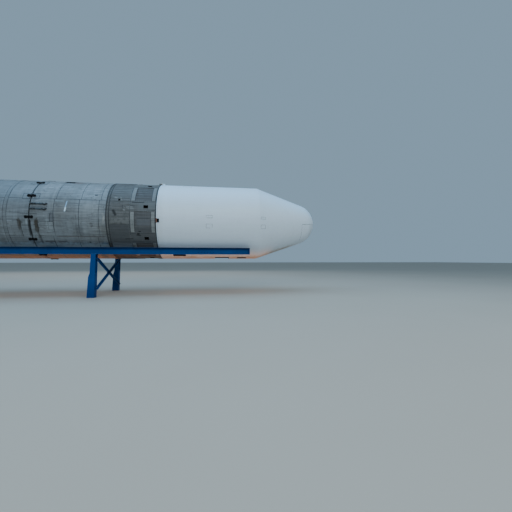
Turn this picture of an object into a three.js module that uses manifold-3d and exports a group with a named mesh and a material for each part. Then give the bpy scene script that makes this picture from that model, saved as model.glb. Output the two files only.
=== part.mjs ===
// Space rocket lying on its blue display cradle: a two-stage launcher 3.05 m across, nose towards +X.
// Millimetres, +Z up, +Y to the left of the nose. The origin is on the ground under the middle of the whole object.
// A station is a distance back from the nose tip, and a hull angle runs up from the rocket's right side (-Y).

import * as THREE from "three";
import { mergeVertices } from "three/addons/utils/BufferGeometryUtils.js";
import Module from "manifold-3d";

const wasm = await Module();
wasm.setup();

// Driving dimensions

const HULL_RADIUS = 1525;
const AXIS_HEIGHT = 2960;
const GAP = 0.3; // between pieces that touch
const RUNNING_GAP = 5; // between pieces that move past each other
const HULL_SIDES = 40;
const ROUND_SIDES = 16;
const PIN_SIDES = 12;

const STATION = {
  fairingBase: 6510,
  sectionEnd: 8140,
  fieldRingEnd: 8270,
  joint: 10730,
  jointEnd: 10790,
  interstage: 14900,
  firstStage: 16700,
  intertank: 21900,
  fuelTank: 23100,
  skirt: 27100,
  skirtEnd: 28500,
  engineHinge: 27520,
};

const NOZZLE_LENGTH = 1700; // from the engine's hinge to its exit
const TOTAL_LENGTH = STATION.engineHinge + NOZZLE_LENGTH;
const NOSE_X = TOTAL_LENGTH / 2;
const along = (station) => NOSE_X - station;

// Nose fairing: a cylinder, a cone and a spherical cap that meet smoothly
const FAIRING_WALL = 60;
const CONE_ANGLE = THREE.MathUtils.degToRad(18.9);
const CAP_RADIUS = 888;
const HINGE = { rise: 20, pin: 14, knuckle: 28, width: 60, cheek: 16, side: 260, arm: 110 };

// Field joint with twelve straps across it
const STRAP = { count: 12, first: -3, length: 265, width: 96, height: 34, stem: 50 };

// Cradle
const RAIL = { front: 3000, rear: 27800, outer: 1370, size: 254, flange: 20, web: 14, top: 1850 };
const CHOCK = { stations: [7640, 10250, 13650, 17050, 20400, 23750, 26750], length: 460, height: 215 };
const CHOCK_REACH = { top: 1000, bottom: 745, web: 1240 }; // from the middle, before the hull is cut out of it
const TRESTLES = [
  ["front", 8745],
  ["middle", 15400],
  ["rear", 22055],
];
const LEG = {
  topAhead: 98,
  footAhead: 45,
  topBack: 70,
  kneeBack: 112,
  sleeveBack: 162,
  footBack: 215,
  shoulder: [755, 905],
  depth: 203,
  sleeve: 6,
};
const BRACE = { rise: 585, reach: 1270, middles: [835, 915], width: 90, plate: 10, flange: 70, gusset: [300, 170] };

// Engines: four on the diagonals, each swinging sideways on a radial hinge
const ENGINE = { count: 4, offset: 900, trunnion: 34, trunnionReach: 250 };
const YOKE = { inner: 205, thickness: 40, width: 120, aft: 70 };
const ACTUATOR = {
  base: [-10, 780],
  eye: [-560, 260],
  neck: 85,
  barrel: 400,
  barrelRadius: 45,
  rodRadius: 22,
  rodStart: 215,
  pin: 20,
  slack: 3,
  eyeRadius: 42,
};

// Colours of the real thing, in the photograph's light
const COLOUR = {
  white: 0xc9d3da,
  grey: 0x7d868b,
  dark: 0x56595b,
  black: 0x1b1c1e,
  blue: 0x064a93,
  steel: 0x8a8c8e,
};

const materials = Object.fromEntries(
  Object.entries(COLOUR).map(([name, color]) => [
    name,
    new THREE.MeshStandardMaterial({
      color,
      roughness: name === "white" ? 0.45 : 0.6,
      metalness: ["grey", "dark", "steel"].includes(name) ? 0.7 : 0,
    }),
  ]),
);

// Solids: closed three.js shapes, joined and cut by manifold-3d

function solid(geometry) {
  const loose = geometry.index ? geometry.toNonIndexed() : geometry;
  const bare = new THREE.BufferGeometry().setAttribute("position", loose.getAttribute("position"));
  const merged = mergeVertices(bare, 1e-3);
  const mesh = new wasm.Mesh({
    numProp: 3,
    vertProperties: merged.attributes.position.array,
    triVerts: new Uint32Array(merged.index.array),
  });
  return new wasm.Manifold(mesh);
}

function geometryOf(body) {
  const mesh = body.getMesh();
  const stride = mesh.numProp;
  const position = new Float32Array(mesh.numVert * 3);
  for (let i = 0; i < mesh.numVert; i++) {
    position.set(mesh.vertProperties.subarray(i * stride, i * stride + 3), i * 3);
  }
  const geometry = new THREE.BufferGeometry();
  geometry.setAttribute("position", new THREE.BufferAttribute(position, 3));
  geometry.setIndex(new THREE.BufferAttribute(mesh.triVerts, 1));
  geometry.computeVertexNormals();
  return geometry;
}

const join = (bodies) => bodies.reduce((sum, body) => sum.add(body));
const degrees = THREE.MathUtils.degToRad;

// A box from its ranges along X, Y and Z
function box([x0, x1], [y0, y1], [z0, z1]) {
  const geometry = new THREE.BoxGeometry(x1 - x0, y1 - y0, z1 - z0);
  return solid(geometry.translate((x0 + x1) / 2, (y0 + y1) / 2, (z0 + z1) / 2));
}

// Turns an outline of [x, radius] points, listed from tail to nose, round the X axis
function revolve(outline, sides = HULL_SIDES) {
  const points = outline.map(([x, radius]) => new THREE.Vector2(radius, x));
  return solid(new THREE.LatheGeometry(points, sides).rotateZ(-Math.PI / 2));
}

// A solid of revolution whose ends are flat discs, from [station, radius] steps listed from nose to tail
function drum(steps, sides = HULL_SIDES) {
  const outline = steps.map(([station, radius]) => [along(station), radius]).reverse();
  return revolve([[outline[0][0], 0], ...outline, [outline.at(-1)[0], 0]], sides);
}

// A plain cylinder along one axis, between two points of that axis
function bar(axis, radius, [from, to], [a, b], sides = PIN_SIDES) {
  const geometry = new THREE.CylinderGeometry(radius, radius, to - from, sides);
  const middle = (from + to) / 2;
  if (axis === "x") geometry.rotateZ(-Math.PI / 2).translate(middle, a, b);
  if (axis === "y") geometry.translate(a, middle, b);
  if (axis === "z") geometry.rotateX(Math.PI / 2).translate(a, b, middle);
  return solid(geometry);
}

// An outline of [across, up] points drawn in one plane and pushed along the third axis
function extrude(plane, outline, [from, to]) {
  const shape = new THREE.Shape(outline.map(([a, b]) => new THREE.Vector2(a, b)));
  const geometry = new THREE.ExtrudeGeometry(shape, { depth: to - from, bevelEnabled: false });
  geometry.translate(0, 0, from);
  const [x, y, z] = [0, 1, 2].map((i) => new THREE.Vector3().setComponent(i, 1));
  const basis = { yz: [y, z, x], xy: [x, y, z], zx: [z, x, y] }[plane];
  return solid(geometry.applyMatrix4(new THREE.Matrix4().makeBasis(...basis)));
}

// A copy of a body turned about the X axis
const turned = (body, angle) => body.rotate([THREE.MathUtils.radToDeg(angle), 0, 0]);

// A box lying on the hull at a hull angle: its ranges along the hull, across it and outwards from the axis
function onHull(hullAngle, [s0, s1], [a0, a1], [r0, r1]) {
  return turned(box([along(s1), along(s0)], [-r1, -r0], [a0, a1]), -degrees(hullAngle));
}

// A cutter for a sunk panel: a slice of a thick tube outside the panel's floor
function panelCutter(hullAngle, span, [s0, s1], floor) {
  const steps = 5;
  const middle = Math.PI - degrees(hullAngle);
  const half = degrees(span / 2);
  const outline = [];
  for (const [radius, way] of [[floor, 1], [HULL_RADIUS + 60, -1]]) {
    for (let i = 0; i <= steps; i++) {
      const angle = middle + way * half * ((2 * i) / steps - 1);
      outline.push([radius * Math.cos(angle), radius * Math.sin(angle)]);
    }
  }
  return extrude("yz", outline.reverse(), [along(s1), along(s0)]);
}

// The radius of a bore in which a round pin of that radius turns with a small gap at every angle
const boreRadius = (pin, sides = PIN_SIDES) => pin / Math.cos(Math.PI / sides) + GAP;

// Scene

const part = new THREE.Group();
const rocket = new THREE.Group();
rocket.position.z = AXIS_HEIGHT;
const cradle = new THREE.Group();
part.add(rocket, cradle);

function place(parent, name, body, material) {
  const mesh = new THREE.Mesh(geometryOf(body), materials[material]);
  mesh.name = name;
  parent.add(mesh);
  return mesh;
}

// Nose fairing

// The fairing's outline, drawn in by inset, from the base to the tip
function fairingOutline(inset) {
  const cap = CAP_RADIUS - inset;
  const shoulder = HULL_RADIUS - inset;
  const capSteps = 5;
  const touchStation = CAP_RADIUS - cap * Math.sin(CONE_ANGLE);
  const touchRadius = cap * Math.cos(CONE_ANGLE);
  const coneStation = touchStation + (shoulder - touchRadius) / Math.tan(CONE_ANGLE);
  const outline = [
    [STATION.fairingBase, shoulder],
    [coneStation, shoulder],
  ];
  for (let i = 0; i <= capSteps; i++) {
    const turn = (Math.PI / 2 - CONE_ANGLE) * (1 - i / capSteps);
    outline.push([CAP_RADIUS - cap * Math.cos(turn), cap * Math.sin(turn)]);
  }
  return outline.map(([station, radius]) => [along(station), radius]);
}

function fairingShell() {
  return revolve([...fairingOutline(FAIRING_WALL).reverse(), ...fairingOutline(0)]);
}

// One of the two hinges' knuckles, or the fork and pin that hold it
function fairingHinges(moving) {
  const x = along(STATION.fairingBase);
  const z = HULL_RADIUS + HINGE.rise;
  const parts = [];
  for (const side of [-1, 1]) {
    const y = side * HINGE.side;
    const half = HINGE.width / 2;
    const foot = z - HINGE.knuckle - 24;
    if (moving) {
      const arm = box([x + RUNNING_GAP, x + HINGE.arm], [y - half, y + half], [foot, z + 12]);
      const knuckle = bar("y", HINGE.knuckle, [y - half, y + half], [x, z]);
      const bore = bar("y", boreRadius(HINGE.pin), [y - half - 1, y + half + 1], [x, z]);
      parts.push(arm.add(knuckle).subtract(bore));
      continue;
    }
    for (const end of [-1, 1]) {
      const inner = y + end * (half + 1);
      const range = [inner, inner + end * HINGE.cheek].sort((a, b) => a - b);
      const cheek = bar("y", HINGE.knuckle, range, [x, z]);
      parts.push(cheek, box([x - HINGE.arm, x - RUNNING_GAP], range, [foot, z + 12]));
    }
    parts.push(bar("y", HINGE.pin, [y - half - 4, y + half + 4], [x, z]));
  }
  return join(parts);
}

const SPAN = 2 * TOTAL_LENGTH;
const above = box([-SPAN, SPAN], [-SPAN, SPAN], [RUNNING_GAP, SPAN]);
const below = box([-SPAN, SPAN], [-SPAN, SPAN], [-SPAN, 0]);
const aheadOfBase = box([along(STATION.fairingBase) + RUNNING_GAP, SPAN], [-SPAN, SPAN], [-SPAN, SPAN]);

function upperFairing() {
  return fairingShell().intersect(above).intersect(aheadOfBase).add(fairingHinges(true));
}

// The lower half carries the latch block beside the parting line, and sunk openings along its belly
const LATCH = { stations: [6400, 6474], drop: [50, 185], height: 40 };
const BELLY = {
  depth: 30,
  openings: [
    [-77.5, 8, [3040, 3430]],
    [-90, 33.4, [3770, 4360]],
    [-64.3, 8.2, [5524, 6019]],
    [-102.5, 8, [3040, 3430]],
    [-115.7, 8.2, [5524, 6019]],
  ],
};

function lowerFairing() {
  const reach = HULL_RADIUS + LATCH.height;
  const latch = box(
    [along(LATCH.stations[1]), along(LATCH.stations[0])],
    [-reach, -HULL_RADIUS + FAIRING_WALL / 2],
    [-LATCH.drop[1], -LATCH.drop[0]],
  );
  const openings = BELLY.openings.map(([angle, span, stations]) =>
    panelCutter(angle, span, stations, HULL_RADIUS - BELLY.depth),
  );
  return openings.reduce((rest, opening) => rest.subtract(opening), fairingShell().intersect(below).add(latch));
}

place(rocket, "fairing_upper", upperFairing(), "white");
place(rocket, "fairing_lower", lowerFairing().translate([GAP, 0, 0]), "white");

// Payload adapter: a cone on the section's forward deck, with a flat ring for the payload
const ADAPTER = { base: 1050, top: 620, rim: 660, height: 550, rimDepth: 45 };
const deck = STATION.fairingBase - GAP;
place(
  rocket,
  "payload_adapter",
  drum([
    [deck - ADAPTER.height, ADAPTER.rim],
    [deck - ADAPTER.height + ADAPTER.rimDepth, ADAPTER.rim],
    [deck - ADAPTER.height + ADAPTER.rimDepth, ADAPTER.top],
    [deck, ADAPTER.base],
  ], ROUND_SIDES * 2),
  "grey",
);

// Equipment section: eight sunk panels, with a square opening in each belt between them
const PANEL = { count: 8, first: -7, span: 29, stations: [6690, 7280], depth: 16 };
const PORT = { first: 14.5, stations: [6800, 6960], width: 116, depth: 160 };

function equipmentSection() {
  let body = drum([
    [STATION.fairingBase, HULL_RADIUS],
    [STATION.sectionEnd - GAP, HULL_RADIUS],
  ]);
  for (let i = 0; i < PANEL.count; i++) {
    const turn = (i * 360) / PANEL.count;
    const floor = HULL_RADIUS - PANEL.depth;
    const half = PORT.width / 2;
    body = body
      .subtract(panelCutter(PANEL.first + turn, PANEL.span, PANEL.stations, floor))
      .subtract(onHull(PORT.first + turn, PORT.stations, [-half, half], [HULL_RADIUS - PORT.depth, HULL_RADIUS + 60]));
  }
  return body.add(fairingHinges(false));
}

place(rocket, "equipment_section", equipmentSection(), "dark");

// Dark field ring behind the equipment section
const RING = { proud: 7, groove: 12, land: 42 };
place(
  rocket,
  "field_ring",
  drum([
    [STATION.sectionEnd, HULL_RADIUS + RING.proud],
    [STATION.sectionEnd + RING.land, HULL_RADIUS + RING.proud],
    [STATION.sectionEnd + RING.land, HULL_RADIUS - RING.groove],
    [STATION.fieldRingEnd - RING.land, HULL_RADIUS - RING.groove],
    [STATION.fieldRingEnd - RING.land, HULL_RADIUS + RING.proud],
    [STATION.fieldRingEnd - GAP, HULL_RADIUS + RING.proud],
  ]),
  "black",
);

// Tanks and shells

const FLANGE = { width: 60, proud: 12 };

const plainHull = (from, to) =>
  drum([
    [from, HULL_RADIUS],
    [to, HULL_RADIUS],
  ]);

// A hull piece with a raised flange at each end
const flangedHull = (from, to, width = FLANGE.width) =>
  drum([
    [from, HULL_RADIUS + FLANGE.proud],
    [from + width, HULL_RADIUS + FLANGE.proud],
    [from + width, HULL_RADIUS],
    [to - width, HULL_RADIUS],
    [to - width, HULL_RADIUS + FLANGE.proud],
    [to, HULL_RADIUS + FLANGE.proud],
  ]);

// The hull with its flanges and a small gap round it, to seat on it what it carries
const hullCutter = join([
  plainHull(STATION.fairingBase, STATION.skirtEnd),
  flangedHull(STATION.interstage, STATION.firstStage, FLANGE.width + 2 * GAP),
  flangedHull(STATION.intertank, STATION.fuelTank, FLANGE.width + 2 * GAP),
  plainHull(STATION.skirt, STATION.skirtEnd),
]).scale([1, 1 + GAP / 1500, 1 + GAP / 1500]);

// Open hatch high on the upper tank's right side
const HATCH = { angle: 66, stations: [9660, 9990], width: 210, depth: 45 };
const hatchCutter = onHull(
  HATCH.angle,
  HATCH.stations,
  [-HATCH.width / 2, HATCH.width / 2],
  [HULL_RADIUS - HATCH.depth, HULL_RADIUS + 60],
);
place(
  rocket,
  "upper_tank",
  plainHull(STATION.fieldRingEnd, STATION.joint).subtract(hatchCutter),
  "grey",
);

// Field joint: a sunk ring with straps standing across the gap
function jointRing() {
  const sunk = 45;
  const middle = (STATION.joint + STATION.jointEnd) / 2;
  const parts = [
    drum([
      [STATION.joint + GAP, HULL_RADIUS - sunk],
      [STATION.jointEnd - GAP, HULL_RADIUS - sunk],
    ]),
  ];
  const half = STRAP.width / 2;
  for (let i = 0; i < STRAP.count; i++) {
    const angle = STRAP.first + (i * 360) / STRAP.count;
    const bridge = [middle - STRAP.length / 2, middle + STRAP.length / 2];
    const stem = [middle - STRAP.stem / 2, middle + STRAP.stem / 2];
    parts.push(
      onHull(angle, bridge, [-half, half], [HULL_RADIUS + GAP, HULL_RADIUS + STRAP.height]),
      onHull(angle, stem, [-half, half], [HULL_RADIUS - sunk - 30, HULL_RADIUS + 5]),
    );
  }
  return join(parts);
}

place(rocket, "joint_ring", jointRing(), "black");

// A pair of conduits that leave the gap and turn into the hull, tied by two clamps
const CONDUIT = { angles: [15, 8], stations: [10225, 10752], radius: 26, lift: 30, boot: 130, bootRadius: 30 };

function conduits(side) {
  const parts = [];
  const radius = HULL_RADIUS + CONDUIT.lift;
  for (const angle of CONDUIT.angles) {
    const turn = -degrees(angle);
    const [front, back] = CONDUIT.stations;
    const tube = bar("x", CONDUIT.radius, [along(back), along(front)], [-radius, 0], 8);
    const bootEnds = [along(front + CONDUIT.boot), along(front)];
    const boot = bar("x", CONDUIT.bootRadius, bootEnds, [-radius - 4, 0], 8);
    parts.push(turned(tube.add(boot), turn));
  }
  const middle = (CONDUIT.angles[0] + CONDUIT.angles[1]) / 2;
  for (const station of [10380, 10640]) {
    parts.push(onHull(middle, [station, station + 40], [-130, 130], [HULL_RADIUS - 20, HULL_RADIUS + 44]));
  }
  const pair = join(parts).subtract(hullCutter);
  return side === "right" ? pair : turned(pair, Math.PI);
}

for (const side of ["right", "left"]) place(rocket, "conduits_" + side, conduits(side), "steel");

place(rocket, "lower_tank", plainHull(STATION.jointEnd, STATION.interstage), "grey");

// Interstage with eight vent ports
const VENT = { count: 8, first: 22.5, stations: [15420, 16080], width: 330, depth: 240 };

function interstage() {
  let body = flangedHull(STATION.interstage + GAP, STATION.firstStage - GAP);
  for (let i = 0; i < VENT.count; i++) {
    const half = VENT.width / 2;
    const angle = VENT.first + (i * 360) / VENT.count;
    body = body.subtract(onHull(angle, VENT.stations, [-half, half], [HULL_RADIUS - VENT.depth, HULL_RADIUS + 60]));
  }
  return body;
}

place(rocket, "interstage", interstage(), "dark");
place(rocket, "oxidizer_tank", plainHull(STATION.firstStage, STATION.intertank), "grey");
place(rocket, "intertank", flangedHull(STATION.intertank + GAP, STATION.fuelTank - GAP), "dark");
place(rocket, "fuel_tank", plainHull(STATION.fuelTank, STATION.skirt - GAP), "grey");

// Raceways: covered cable ducts along the far side of the back
const RACEWAYS = [
  ["raceway_second_stage", 10900, 14880],
  ["raceway_first_stage", 16720, 27060],
];
const DUCT = { angle: 117, half: 90, topHalf: 62, height: 78 };

function raceway([, from, to]) {
  const outline = [
    [-HULL_RADIUS + 30, -DUCT.half],
    [-HULL_RADIUS + 30, DUCT.half],
    [-HULL_RADIUS - 20, DUCT.half],
    [-HULL_RADIUS - DUCT.height, DUCT.topHalf],
    [-HULL_RADIUS - DUCT.height, -DUCT.topHalf],
    [-HULL_RADIUS - 20, -DUCT.half],
  ];
  return turned(extrude("yz", outline, [along(to), along(from)]), -degrees(DUCT.angle)).subtract(hullCutter);
}

for (const row of RACEWAYS) place(rocket, row[0], raceway(row), "grey");

// Aft skirt: an open shell round the engines
const SKIRT_WALL = 70;
const LIP = { width: 70, proud: 14 };

function aftSkirt() {
  const inner = HULL_RADIUS - SKIRT_WALL;
  const lip = HULL_RADIUS + LIP.proud;
  const [front, back] = [along(STATION.skirt), along(STATION.skirtEnd)];
  const outline = [
    [back, inner],
    [back, lip],
    [back + LIP.width, lip],
    [back + LIP.width, HULL_RADIUS],
    [front - LIP.width, HULL_RADIUS],
    [front - LIP.width, HULL_RADIUS + FLANGE.proud],
    [front, HULL_RADIUS + FLANGE.proud],
    [front, inner],
    [back, inner],
  ];
  return revolve(outline);
}

place(rocket, "aft_skirt", aftSkirt(), "dark");

// Engines, in a frame of their own: X along the rocket from the hinge, Y sideways and Z outwards from its axis

const hingeX = along(STATION.engineHinge);
const FRAME = { front: 27120, back: 27370, ringBack: 27400, rim: 90, beam: 190, hub: 330 };

// Brings a body from an engine's frame to its place in the rocket
const atEngine = (body, index) =>
  turned(body.translate([hingeX, 0, ENGINE.offset]), engineTurn(index));
const engineTurn = (index) => degrees(45 + (index * 360) / ENGINE.count);

// The yoke that holds an engine's trunnions, and the fork that holds its actuator
function engineMount() {
  const frameX = STATION.engineHinge - FRAME.back;
  const [baseX, baseY] = ACTUATOR.base;
  const parts = [];
  for (const side of [-1, 1]) {
    const range = [side * YOKE.inner, side * (YOKE.inner + YOKE.thickness)].sort((a, b) => a - b);
    const arm = box([-YOKE.aft, frameX + 20], [-YOKE.width / 2, YOKE.width / 2], range);
    const bore = boreRadius(ENGINE.trunnion, ROUND_SIDES);
    parts.push(arm.subtract(bar("z", bore, [range[0] - 1, range[1] + 1], [0, 0], ROUND_SIDES)));
    const plate = [side * 25, side * 41].sort((a, b) => a - b);
    parts.push(box([baseX - 40, 150], [baseY - 40, baseY + 40], plate));
  }
  parts.push(box([130, 270], [baseY - 40, baseY + 40], [-40, 290]));
  parts.push(bar("z", ACTUATOR.pin, [-42, 42], [baseX, baseY]));
  return parts;
}

function thrustFrame() {
  const outer = HULL_RADIUS - SKIRT_WALL - GAP;
  const [front, back, ringBack] = [along(FRAME.front), along(FRAME.back), along(FRAME.ringBack)];
  const ring = revolve([
    [ringBack, outer - FRAME.rim],
    [ringBack, outer],
    [front, outer],
    [front, outer - FRAME.rim],
    [ringBack, outer - FRAME.rim],
  ]);
  const beams = [0, 1].map((i) =>
    turned(box([back, front], [-FRAME.beam / 2, FRAME.beam / 2], [-outer + 40, outer - 40]), engineTurn(i)),
  );
  const hub = revolve([[back, 0], [back, FRAME.hub], [front, FRAME.hub], [front, 0]], ROUND_SIDES);
  const mounts = [];
  for (let i = 0; i < ENGINE.count; i++) mounts.push(...engineMount().map((body) => atEngine(body, i)));
  return join([ring, hub, ...beams, ...mounts]);
}

place(rocket, "thrust_frame", thrustFrame(), "steel");

// Chamber and nozzle outline: [distance behind the hinge, outer radius, inner radius]
const BELL = [
  [-60, 120, 0],
  [-20, 165, 0],
  [40, 185, 0],
  [330, 185, 155],
  [470, 118, 92],
  [560, 160, 134],
  [720, 250, 226],
  [980, 340, 320],
  [1320, 406, 389],
  [1700, 440, 424],
];
const INJECTOR_FACE = 90;

function bellOutline(grow = 0) {
  return BELL.map(([back, outer]) => [-back, outer + grow]).reverse();
}

function thrustChamber() {
  const inner = BELL.filter(([, , radius]) => radius > 0).map(([back, , radius]) => [-back, radius]);
  const chamber = inner[0][1];
  const outline = [
    [-INJECTOR_FACE, 0],
    [-INJECTOR_FACE, chamber],
    ...inner,
    ...bellOutline(),
    [BELL[0][0] * -1, 0],
  ];
  const [eyeX, eyeY] = ACTUATOR.eye;
  const trunnion = bar("z", ENGINE.trunnion, [-ENGINE.trunnionReach, ENGINE.trunnionReach], [0, 0]);
  const parts = [revolve(outline, ROUND_SIDES)];
  parts.push(trunnion);
  for (const side of [-1, 1]) {
    const range = [side * 28, side * 42].sort((a, b) => a - b);
    const lug = extrude(
      "xy",
      [
        [eyeX - 45, 172],
        [eyeX + 150, 133],
        [eyeX + 40, eyeY + 38],
        [eyeX - 40, eyeY + 38],
      ],
      range,
    );
    parts.push(lug);
  }
  parts.push(bar("z", ACTUATOR.pin, [-42, 42], [eyeX, eyeY]));
  return join(parts);
}

// Turbopump beside the chamber, towards the rocket's axis
const PUMP = { inward: 335, radius: 105, stations: [120, 560], volute: 135 };

function turbopump() {
  const [front, back] = PUMP.stations;
  const axis = -PUMP.inward;
  const parts = [
    bar("x", PUMP.radius, [-back, -front], [0, axis], ROUND_SIDES),
    bar("x", PUMP.volute, [-front - 150, -front - 70], [0, axis], ROUND_SIDES),
    box([-front - 140, -front - 80], [-45, 45], [axis, -150]),
    box([-back + 40, -back + 90], [-30, 30], [axis, -90]),
  ];
  return join(parts).subtract(revolve([[-BELL.at(-1)[0], 0], ...bellOutline(GAP), [60 + GAP, 0]], ROUND_SIDES));
}

// The actuator lies along one line from its base pivot to the eye on the engine
const [baseX, baseY] = ACTUATOR.base;
const eyeDistance = Math.hypot(ACTUATOR.eye[0] - baseX, ACTUATOR.eye[1] - baseY);
const actuatorTurn = Math.atan2(ACTUATOR.eye[1] - baseY, ACTUATOR.eye[0] - baseX);

// Brings a body from the actuator's own line, with X from the base to the eye, to the engine's frame
const atActuator = (body) =>
  body.rotate([0, 0, THREE.MathUtils.radToDeg(actuatorTurn)]).translate([baseX, baseY, 0]);

function actuatorCylinder() {
  const { neck, barrel, barrelRadius, rodRadius, rodStart } = ACTUATOR;
  const floor = rodStart - 70;
  const tube = revolve(
    [
      [neck, 0],
      [neck, barrelRadius],
      [barrel, barrelRadius],
      [barrel, rodRadius + GAP],
      [floor, rodRadius + GAP],
      [floor, 0],
    ],
    PIN_SIDES,
  );
  const eye = bar("z", 40, [-20, 20], [0, 0]);
  const shank = box([0, neck + 10], [-22, 22], [-20, 20]);
  return atActuator(join([tube, eye, shank]).subtract(bar("z", boreRadius(ACTUATOR.pin), [-21, 21], [0, 0])));
}

function actuatorRod() {
  const { rodRadius, rodStart, eyeRadius } = ACTUATOR;
  const rod = bar("x", rodRadius, [rodStart, eyeDistance - 34], [0, 0]);
  const eye = bar("z", eyeRadius, [-20, 20], [eyeDistance, 0]);
  const bore = bar("z", ACTUATOR.pin + ACTUATOR.slack, [-25, 25], [eyeDistance, 0], ROUND_SIDES);
  return atActuator(rod.add(eye).subtract(bore));
}

for (let i = 0; i < ENGINE.count; i++) {
  const number = i + 1;
  place(rocket, "thrust_chamber_" + number, atEngine(thrustChamber(), i), "steel");
  place(rocket, "turbopump_" + number, atEngine(turbopump(), i), "grey");
  place(rocket, "actuator_cylinder_" + number, atEngine(actuatorCylinder(), i), "steel");
  place(rocket, "actuator_rod_" + number, atEngine(actuatorRod(), i), "steel");
}

// Cradle rails, each with its chocks, end plates and inner web stiffeners

const seat = hullCutter.translate([0, 0, AXIS_HEIGHT]);

function rail(side) {
  const { outer, size, flange, web, top } = RAIL;
  const inner = outer - size;
  const middle = (outer + inner) / 2;
  const bottom = top - size;
  const [back, front] = [along(RAIL.rear), along(RAIL.front)];
  const span = (a, b) => [side * a, side * b].sort((p, q) => p - q);
  const parts = [
    box([back, front], span(inner, outer), [top - flange, top]),
    box([back, front], span(inner, outer), [bottom, bottom + flange]),
    box([back, front], span(middle - web / 2, middle + web / 2), [bottom, top]),
  ];
  const stiffeners = [
    [back + 8, outer - 6],
    [front - 8, outer - 6],
    ...TRESTLES.map(([, station]) => [along(station), middle]),
  ];
  for (const [x, reach] of stiffeners) parts.push(box([x - 8, x + 8], span(inner + 6, reach), [bottom + 5, top - 5]));
  for (const station of CHOCK.stations) {
    const x = along(station);
    const outline = [
      [side * CHOCK_REACH.bottom, top - CHOCK.height],
      [side * CHOCK_REACH.web, top - CHOCK.height],
      [side * CHOCK_REACH.web, top - 2],
      [side * CHOCK_REACH.top, top - 2],
    ];
    if (side < 0) outline.reverse();
    parts.push(extrude("yz", outline, [x - CHOCK.length / 2, x + CHOCK.length / 2]).subtract(seat));
  }
  return join(parts);
}

// How far a leg's nose side lies ahead of its trestle's station at a height
const LEG_TOP = RAIL.top - RAIL.size - GAP;
const legLean = (LEG.topAhead - LEG.footAhead) / LEG_TOP;
const legAhead = (height) => LEG.footAhead + legLean * height;

// A leg: an H-section that widens downwards into a boxed sleeve with a sloping shoulder
function leg(side, x) {
  const { topBack, kneeBack, sleeveBack, footBack, shoulder, depth, sleeve } = LEG;
  const [low, high] = shoulder;
  const face = (extra) => [side * (RAIL.outer + extra), side * (RAIL.outer - depth - extra)].sort((a, b) => a - b);
  const column = extrude(
    "zx",
    [
      [LEG_TOP, x + legAhead(LEG_TOP)],
      [LEG_TOP, x - topBack],
      [high - 20, x - kneeBack],
      [high - 20, x + legAhead(high - 20)],
    ],
    face(0),
  );
  const foot = extrude(
    "zx",
    [
      [high, x + legAhead(high)],
      [high, x - kneeBack],
      [low, x - sleeveBack],
      [0, x - footBack],
      [0, x + legAhead(0)],
    ],
    face(sleeve),
  );
  const flange = 16;
  const web = 7;
  const recess = [side * (RAIL.outer - flange), side * (RAIL.outer - depth + flange)].sort((a, b) => a - b);
  const cuts = [[x + web, x + 400], [x - 400, x - web]].map((range) => box(range, recess, [high + 1, LEG_TOP - 14]));
  return cuts.reduce((rest, cut) => rest.subtract(cut), column).add(foot);
}

// An X of two angle bars lying on the nose side of a pair of legs, tied by a plate where they cross
function brace(x) {
  const { rise, reach, middles, width, plate, flange } = BRACE;
  const length = Math.hypot(reach, rise);
  const slope = rise / reach;
  const cross = (middles[0] - middles[1]) / (2 * slope);
  const [across, up] = BRACE.gusset;
  const gusset = box([0, plate], [cross - across / 2, cross + across / 2], [-up / 2, up / 2]);
  const bars = [-1, 1].map((way, index) => {
    const edge = [-way * (width / 2 - plate), (-way * width) / 2].sort((a, b) => a - b);
    const bar = box([0, plate], [-length, length], [-width / 2, width / 2]).add(box([0, flange], [-length, length], edge));
    return turned(bar, way * Math.atan(slope)).translate([0, 0, middles[index]]);
  });
  const lean = THREE.MathUtils.radToDeg(Math.atan(legLean));
  return join([gusset.translate([0, 0, (middles[0] + middles[1]) / 2]), ...bars])
    .rotate([0, lean, 0])
    .translate([x + LEG.footAhead + GAP, 0, 0]);
}

for (const [name, side] of [["right", -1], ["left", 1]]) {
  place(cradle, "rail_" + name, rail(side), "blue");
  for (const [trestle, station] of TRESTLES) {
    place(cradle, `leg_${trestle}_${name}`, leg(side, along(station)), "blue");
  }
}
for (const [trestle, station] of TRESTLES) place(cradle, "brace_" + trestle, brace(along(station)), "blue");

export default part;
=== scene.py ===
"""A space rocket lying on its royal-blue display cradle, dressed for a studio render.

Metres, in the part's own frame: +X towards the nose, +Z up, the photographed side towards -Y.
A station (s) is a distance back from the nose tip. A hull angle (a) runs up in degrees from the -Y side.
"""

import math

import bmesh
import bpy
from mathutils import Matrix, Vector


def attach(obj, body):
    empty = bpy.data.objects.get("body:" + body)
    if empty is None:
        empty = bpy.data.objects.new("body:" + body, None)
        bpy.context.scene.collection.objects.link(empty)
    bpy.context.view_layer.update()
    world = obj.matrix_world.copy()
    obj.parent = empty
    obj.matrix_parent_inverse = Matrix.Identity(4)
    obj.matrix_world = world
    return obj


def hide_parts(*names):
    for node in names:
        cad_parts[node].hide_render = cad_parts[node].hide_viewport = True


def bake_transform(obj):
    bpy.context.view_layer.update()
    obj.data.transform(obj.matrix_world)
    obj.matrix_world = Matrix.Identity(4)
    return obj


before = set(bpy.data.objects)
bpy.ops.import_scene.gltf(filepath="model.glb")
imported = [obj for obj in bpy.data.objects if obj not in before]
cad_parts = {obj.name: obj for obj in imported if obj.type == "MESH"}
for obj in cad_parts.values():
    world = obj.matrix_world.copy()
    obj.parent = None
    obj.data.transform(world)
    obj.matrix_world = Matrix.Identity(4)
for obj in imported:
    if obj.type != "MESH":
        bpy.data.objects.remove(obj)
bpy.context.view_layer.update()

NOSE_X, AXIS_Z, R = 14.610, 2.960, 1.525
GAP = 0.0003  # between pieces that touch
SIDES = 160
ROOT = "rocket_and_cradle"
ALL_ROUND = (-180, 180)
HALVES = (0, 180)
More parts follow.
